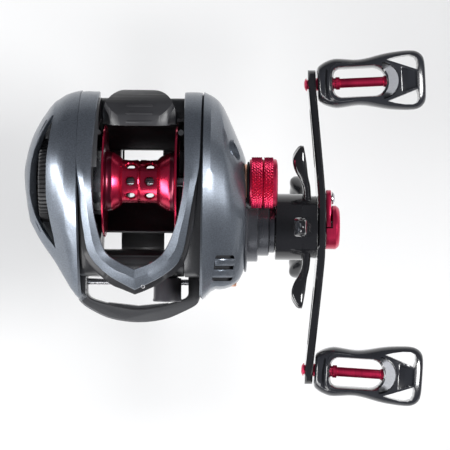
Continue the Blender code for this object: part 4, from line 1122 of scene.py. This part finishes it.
def arm_middle(reach):
    """X of the arm's middle, which bows in beyond its straight part."""
    t = max(0.0, (abs(reach) - ARM_STRAIGHT) / (POST_REACH - ARM_STRAIGHT))
    return ARM_X - (ARM_X - POST_X) * min(1.0, t) ** 1.1


def post_axis(side):
    return DRIVE[0] + side * POST_REACH, DRIVE[1]


def build_arm():
    """A bowed bar with round ends, chamfered edges, slots, and holes for shaft and posts."""
    half, end = 1.2, 4.5
    reaches = [0.0, 4.0, 8.0, 10.0, 12.0] + [14.0 + 3.0 * i for i in range(11)]
    reaches += [45.0, 46.0, 47.0, 48.0, 48.7, 49.15, 49.4, 49.5]
    reaches = [-r for r in reaches[:0:-1]] + reaches
    rows = []
    for reach in reaches:
        beyond = max(0.0, abs(reach) - POST_REACH)
        t = min(1.0, abs(reach) / (POST_REACH - 2.0))
        width = 8.2 - 3.6 * (1 - math.cos(math.pi * t)) / 2
        if beyond > 0:
            width = max(0.5, math.sqrt(max(0.0, end * end - beyond * beyond)))
        chamfer = min(0.55, width * 0.4)
        x, y, z = arm_middle(reach), DRIVE[0] + reach, DRIVE[1]
        rows.append([(x - half, y, z - width + chamfer), (x - half + chamfer, y, z - width),
                     (x + half - chamfer, y, z - width), (x + half, y, z - width + chamfer),
                     (x + half, y, z + width - chamfer), (x + half - chamfer, y, z + width),
                     (x - half + chamfer, y, z + width), (x - half, y, z + width - chamfer)])
    arm = grid("handle_arm_skin", rows, sharp=25.0)
    cutters = [drum("shaft_hole", 50.0, 62.0, 2.3, DRIVE)]
    for side in (1, -1):
        cutters.append(drum("post_hole", 48.0, 60.0, 1.8, post_axis(side)))
        middle = DRIVE[0] + side * 28.0
        slot = (arc((middle + 7.0, DRIVE[1]), 2.3, -90, 90, 16)
                + arc((middle - 7.0, DRIVE[1]), 2.3, 90, 270, 16))
        cutters.append(prism("arm_slot", slot, 48.0, 60.0))
    return combine(arm, cutters, sharp=25.0)


dress(build_arm(), "drive", BLACK_METAL, "gloss_black_metal", "handle_arm")


def build_nut():
    y, z = DRIVE
    profile = [(58.3, 2.3), (58.3, 6.8), (58.4, 6.9), (61.4, 6.9), (61.9, 6.6), (62.4, 6.1),
               (62.6, 5.6), (62.6, 0), (61.2, 0), (61.2, 2.3)]
    nut = turned("handle_nut_skin", profile, DRIVE, steps=96, sharp=25.0)
    return combine(nut, [block("seat", (57.0, 60.3), (y - 0.3, y + 12.0), (z - 9.0, z + 9.0))],
                   sharp=25.0)


def build_retainer():
    y, z = DRIVE
    outline = arc((y + 8.8, z), 3.0, -70, 70, 24) + [(y, z + 6.2), (y, z - 6.2)]
    retainer = prism("nut_retainer_skin", outline, 58.3, 59.9)
    combine(retainer, [drum("bore", 57.0, 61.0, 2.4, DRIVE),
                       drum("hole", 57.0, 61.0, 1.3, (y + 9.2, z))])
    return bevel(retainer, 0.25, 2)


dress(build_nut(), "drive", RED_FINE, "red_anodised", "handle_nut")
dress(build_retainer(), "drive", RED_FINE, "red_anodised", "nut_retainer")
dome = [(60.2, 1.0), (60.2, 2.0)] + [(60.2 + 1.0 * math.sin(a), 2.0 * math.cos(a))
                                     for a in (math.pi / 2 * i / 8 for i in range(1, 8))]
dress(turned("retainer_screw_skin", [(58.3, 0), (58.3, 1.0)] + dome + [(61.2, 0)],
             (DRIVE[0] + 9.2, DRIVE[1]), steps=48),
      "drive", STEEL, "steel", "retainer_screw")


# ---- Knobs ----
# Distance from the grip's start, half width, half thickness
KNOB_SECTIONS = [
    (0.0, 4.6, 3.9), (0.25, 5.2, 4.6), (0.8, 5.8, 5.1), (2.6, 6.9, 5.4), (5.4, 7.75, 5.6),
    (8.4, 7.6, 5.7), (11.5, 7.25, 5.7), (14.0, 7.3, 5.7), (16.5, 7.7, 5.6), (19.2, 8.3, 5.4),
    (22.0, 8.85, 5.2), (25.0, 9.2, 4.9), (28.0, 9.4, 4.5), (30.6, 9.3, 4.1),
    (32.2, 8.7, 3.8), (33.2, 7.8, 3.4), (33.7, 6.9, 3.0), (33.9, 5.9, 2.5),
]


# How square a grip's section is, across and through
GRIP_POWERS = (0.6, 0.78)
# Beyond a knob's faces, seen from its middle
CLEAR = 9.0


def splayed(obj, side):
    """Lean a knob's piece outwards round the arm's end, as the pair is splayed."""
    pivot = Vector((POST_X, *post_axis(side))) * MM
    lean = Matrix.Rotation(math.radians(side * KNOB_SPLAY), 4, "Z")
    obj.data.transform(Matrix.Translation(pivot) @ lean @ Matrix.Translation(-pivot))
    return obj


def knob_slot(y0, left, right, sides):
    """The grip's opening in plan, widened by so much at its left, its right and its sides."""
    x0, x1 = KNOB_START + 5.0 - left, KNOB_START + 21.7 + right
    half = 4.55 + sides
    r0, r1 = 2.6 + left * 0.5, min(half - 0.05, 4.2 + right * 0.3)
    return (arc((x0 + r0, y0 - half + r0), r0, 180, 270, 8)
            + arc((x1 - r1, y0 - half + r1), r1, 270, 360, 12)
            + arc((x1 - r1, y0 + half - r1), r1, 0, 90, 12)
            + arc((x0 + r0, y0 + half - r0), r0, 90, 180, 8))


def dish_outline(share):
    """The crescent pocket at the slot's outer end, in plan."""
    turn = [math.pi * (k / 28 - 0.5) for k in range(29)]
    return [(20.3 + 5.3 * share * math.cos(a), 5.8 * share * math.sin(a)) for a in turn]


def dish_height(along):
    """How far from the knob's middle plane the pocket's sloping floor lies."""
    return 2.6 + 0.54 * (along - 21.5)


def on_knob(points, y0, edge=1):
    """Plan points, given from the grip's start and middle, where the knob stands."""
    return [(KNOB_START + a, y0 + edge * b) for a, b in points]


def build_dish_highlights(name, side):
    """Lighter grey plates on the floors of a knob's two pockets: a painted highlight standing in
    for the lamp's reflection on the black dish.
    """
    y0, z0 = post_axis(side)
    plates = []
    for sign in (1, -1):
        plate = grid("inlay", [[(KNOB_START + a, y0 + b, z0 + sign * (dish_height(a) + lift))
                                for a, b in dish_outline(0.93)] for lift in (-0.1, 0.12)])
        opening = prism("opening", knob_slot(y0, 0.0, 0.6, 0.5), z0 - CLEAR, z0 + CLEAR, "Z")
        plates.append(combine(plate, [opening]))
    return splayed(merged(name, plates), side)


def build_knob(name, side):
    y0, z0 = post_axis(side)
    rows = []
    for along, wide, thick in smooth_path(KNOB_SECTIONS, 3):
        rows.append([(KNOB_START + along, y0 + wide * swell(math.cos(t), GRIP_POWERS[0]),
                      z0 + thick * swell(math.sin(t), GRIP_POWERS[1]))
                     for t in circle(56, 0.5)])
    knob = grid(name + "_skin", rows, sharp=35.0)
    low, high = z0 - CLEAR, z0 + CLEAR
    cutters = [prism("knob_slot", knob_slot(y0, 0.0, 0.0, 0.0), low, high, "Z")]
    for sign in (1, -1):
        flare = []
        for z, left, right, sides in ((2.6, 0.0, 0.0, 0.0), (3.1, 0.15, 0.2, 0.1),
                                      (5.3, 0.6, 0.9, 0.5), (7.5, 1.1, 1.5, 0.9)):
            outline = knob_slot(y0, left, right, sides)
            flare.append([(x, y, z0 + sign * z) for x, y in outline])
        cutters.append(grid("knob_flare", flare))
        cutters.append(grid("knob_dish", [
            [(KNOB_START + a, y0 + b, z0 + sign * dish_height(a)) for a, b in dish_outline(1.0)],
            [(x, y, z0 + sign * CLEAR) for x, y in on_knob(dish_outline(1.0), y0)]]))
    for edge in (1, -1):
        corners = [(21.6, 6.5), (24.0, 7.2), (27.0, 7.75), (29.6, 7.85), (31.0, 7.3),
                   (31.7, 6.2), (31.8, 4.6), (31.4, 3.0)]
        cutters.append(prism("knob_cutout", on_knob(corners, y0, edge), low, high, "Z"))
    web = on_knob([(26.3, -3.8), (31.2, -2.4), (31.2, 2.4), (26.3, 3.8)], y0)
    for sign in (1, -1):
        deep, shallow = sorted((z0 + sign * 3.4, z0 + sign * CLEAR))
        cutters.append(prism("web_recess", web, deep, shallow, "Z"))
    groove = [(2.0, -4.6), (2.7, -4.9), (3.6, -5.9), (4.2, -5.6), (3.2, -4.4), (2.8, 0.0),
              (3.2, 4.2), (2.5, 4.4), (2.1, 0.0)]
    cutters.append(prism("knob_groove", on_knob(groove, y0), z0 + 4.6, high, "Z"))
    combine(knob, cutters, sharp=35.0)
    knob = bevel(knob, 0.4, 3, 38.0, 35.0)
    combine(knob, [drum("knob_bore", 53.5, 78.0, 2.1, (y0, z0))], sharp=35.0)
    line = smooth_path([(12.0, -5.5), (7.2, -5.75), (5.0, -5.2), (3.9, -3.6), (3.7, 0.0),
                        (3.9, 3.6), (5.0, 5.2), (7.2, 5.75), (12.0, 5.5)], 6)
    beads = [bead(line, y0, z0, sign, 0.3) for sign in (1, -1)]
    return splayed(shade(merged(name + "_all", [knob] + beads), 35.0), side)


def grip_height(along, across):
    """Half thickness of a knob at a place in plan."""
    wide = lookup([(a, w) for a, w, _ in KNOB_SECTIONS], along)
    thick = lookup([(a, t) for a, _, t in KNOB_SECTIONS], along)
    c = min(1.0, (abs(across) / wide) ** (1 / GRIP_POWERS[0]))
    return thick * math.sqrt(1.0 - c * c) ** GRIP_POWERS[1]


def bead(line, y0, z0, sign, radius):
    """A half-sunk round moulding line on a knob's face."""
    rows = []
    for i, (along, across) in enumerate(line):
        a, b = line[max(0, i - 1)], line[min(len(line) - 1, i + 1)]
        length = math.hypot(b[0] - a[0], b[1] - a[1])
        nx, ny = -(b[1] - a[1]) / length, (b[0] - a[0]) / length
        size = radius * min(1.0, 0.25 + 0.35 * min(i, len(line) - 1 - i))
        height = grip_height(along, across)
        rows.append([(KNOB_START + along + nx * size * math.cos(t),
                      y0 + across + ny * size * math.cos(t),
                      z0 + sign * (height - 0.05 + size * math.sin(t)))
                     for t in circle(10)])
    return grid("bead", rows, sharp=60.0)


def build_post(name, side):
    profile = [(51.1, 0), (51.15, 0.9), (51.3, 1.4), (51.7, 1.95), (51.9, 2.1), (51.9, 1.5),
               (54.9, 1.5), (54.9, 2.0), (55.5, 2.0), (55.5, 1.7), (61.0, 1.7), (61.1, 2.0),
               (62.3, 2.0), (62.4, 1.5), (76.0, 1.5), (76.2, 1.75), (77.5, 1.75), (77.6, 1.5),
               (77.6, 0)]
    return splayed(turned(name + "_skin", profile, post_axis(side), steps=48), side)


for end, side in (("rear", 1), ("front", -1)):
    knob, post = "knob_" + end, "knob_post_" + end
    dress(build_knob(knob, side), knob, KNOB_PLASTIC, "gloss_black_plastic", knob)
    # The grey dish plates are a painted highlight on the black knob
    dress(build_dish_highlights("knob_dish_highlights_" + end, side), knob, DISH_SHEEN, "gloss_black_plastic")
    dress(build_post(post, side), "drive", RED_FINE, "red_anodised", post)


# ---- Level wind ----
housing = turned("worm_housing_skin", [(-11.8, 3.2), (-11.8, 4.1), (-11.6, 4.3), (13.6, 4.3),
                                       (13.8, 4.1), (13.8, 3.2)], WORM, steps=64)
combine(housing, [block("pawl_slot", (-10.8, 12.6), (WORM[0] - 1.8, WORM[0] + 1.8),
                        (WORM[1] - 6.0, WORM[1] - 2.0))])
rails = [block("housing_rail", (-11.6, 13.6), (WORM[0] - d - 0.25, WORM[0] - d + 0.25),
               (WORM[1] + h, WORM[1] + h + 0.5)) for d, h in ((-2.2, 3.55), (0.8, 3.95))]
dress(merged("worm_housing_all", [housing] + rails), "reel_frame", FRAME_PAINT_AND_SHADE,
      "dark_frame_paint", "worm_housing")
dress(turned("guide_rod_skin", [(-19.2, 0), (-19.2, 0.9), (-19.1, 1.0), (17.7, 1.0),
                                (17.8, 0.9), (17.8, 0)], ROD, steps=32),
      "reel_frame", STEEL, "steel", "guide_rod")


def build_line_guide():
    profile = [(-37.6, 3.8), (-37.6, 4.3), (-37.4, 4.6), (-37.0, 4.6), (-36.6, 4.4),
               (-30.4, 4.4), (-30.2, 4.2), (-30.2, 3.8)]
    x = GUIDE_EYE[0]
    barrel = turned("line_guide_skin", profile, GUIDE_EYE, "Y", 72)
    front = block("shoe_front", (x - 3.4, x + 3.4), (-34.0, -30.1), (3.8, 10.6))
    under = block("shoe_under", (x - 3.0, x + 3.0), (-31.0, -23.0), (3.8, 7.8))
    combine(front, [drum("rod_bore", 0.0, 20.0, 1.3, ROD),
                    turned("eye", [(-40.0, 0), (-40.0, 3.8), (-28.0, 3.8), (-28.0, 0)],
                           GUIDE_EYE, "Y", 48)])
    combine(under, [drum("pawl_bore", 2.0, 9.0, 1.5, (x, WORM[0]), "Z"),
                    drum("cap_bore", 2.0, 5.0, 2.0, (x, WORM[0]), "Z")])
    return shade(merged("line_guide_all", [barrel, bevel(front, 0.3), bevel(under, 0.3)]), 35)


dress(build_line_guide(), "line_guide", GUIDE_PLASTIC, "black_plastic", "line_guide")
ring = [(-37.2, 3.0), (-37.3, 3.25), (-37.2, 3.5), (-31.0, 3.5), (-30.9, 3.25), (-31.0, 3.0)]
dress(turned("line_ring_skin", ring, GUIDE_EYE, "Y", 72), "line_guide", CERAMIC,
      "ceramic", "line_ring")

# Screws that show
plate_screw = turned("side_plate_screw_skin",
                     [(24.6, 0), (24.6, 1.2), (26.2, 1.2), (26.3, 2.4), (27.5, 2.4),
                      (27.8, 2.1), (27.8, 0)], PLATE_SCREW, steps=48)
combine(plate_screw, [block("screw_cross", (27.2, 28.5), (9.2, 9.8), (32.5, 35.5)),
                      block("screw_cross", (27.2, 28.5), (8.0, 11.0), (33.7, 34.3))])
dress(plate_screw, "reel_frame", STEEL, "steel", "side_plate_screw")
port = turned("oil_port_skin", [(24.2, 0), (24.2, 1.6), (27.6, 1.6), (27.6, 2.2), (30.2, 2.2),
                                (30.4, 2.0), (30.4, 0)], OIL_PORT, steps=48)
port_band = knurl("oil_port_band", 27.7, 30.1, 2.3, OIL_PORT, 0.2, 18, 8)
dress(merged("oil_port_all", [port, port_band]), "reel_frame", COPPER, "copper_anodised",
      "oil_port_screw")

# ---- Floor, light and camera ----
def build_stage():
    floor = make("floor", [(-3000, -3000, -60), (3000, -3000, -60), (3000, 3000, -60),
                           (-3000, 3000, -60)], [(0, 1, 2, 3)])
    n = Nodes("pale_floor")
    # The floor glows: painted light, brightest in a round pool under the reel and dim beyond
    n.set(Roughness=0.9, Emission_Strength=0.24)
    n.vary("Base Color", n.noise(6.0, 3.0), 0.48, 0.50)
    glow_pool = n.add("ShaderNodeTexGradient", gradient_type="SPHERICAL")
    n.link(n.stretched((4.2, 4.2, 4.2)), glow_pool.inputs["Vector"])
    n.vary("Emission Color", glow_pool.outputs["Fac"], 0.12, (0.985, 0.99, 1.0), 0.0, 0.45)
    floor.data.materials.append(n.mat)


def lamp(name, place, target, size, power):
    """A soft box. The first of its two sizes runs across its own X."""
    data = bpy.data.lights.new(name, "AREA")
    data.shape = "RECTANGLE"
    data.size, data.size_y = size
    data.energy = power
    obj = linked(name, data)
    obj.location = place
    direction = Vector(target) - Vector(place)
    obj.rotation_euler = direction.to_track_quat("-Z", "Y").to_euler()


def build_light():
    scene = bpy.context.scene
    world = bpy.data.worlds.new("studio")
    world.use_nodes = True
    tree = world.node_tree
    back = tree.nodes["Background"]
    where = tree.nodes.new("ShaderNodeTexCoord")
    split = tree.nodes.new("ShaderNodeSeparateXYZ")
    walls = tree.nodes.new("ShaderNodeValToRGB")
    stops = walls.color_ramp.elements
    stops[0].position, stops[0].color = 0.0, (0.15, 0.155, 0.17, 1.0)
    stops[1].position, stops[1].color = 0.9, (0.12, 0.125, 0.14, 1.0)
    tree.links.new(where.outputs["Generated"], split.inputs["Vector"])
    tree.links.new(split.outputs["Z"], walls.inputs["Fac"])
    tree.links.new(walls.outputs["Color"], back.inputs["Color"])
    back.inputs["Strength"].default_value = 1.0
    scene.world = world
    lamp("left_box", (-0.69, -0.28, 0.45), (0.0, -0.02, 0.02), (0.66, 0.27), 8.6)
    lamp("right_box", (0.62, -0.03, 0.60), (0.02, -0.02, 0.02), (0.34, 0.28), 8.0)
    lamp("front_box", (-0.30, -0.66, 0.42), (0.0, -0.02, 0.02), (0.50, 0.36), 3.0)
    scene.view_settings.view_transform = "Standard"


def build_camera():
    scene = bpy.context.scene
    data = bpy.data.cameras.new("camera")
    data.lens = 149.5
    data.sensor_width = 36.0
    data.clip_start, data.clip_end = 0.05, 10.0
    camera = linked("camera", data)
    camera.location = (26.6 * MM, -13.2 * MM, 606 * MM)
    camera.rotation_euler = (0.0, 0.0, math.radians(0.6))
    scene.camera = camera


build_stage()
build_light()
build_camera()
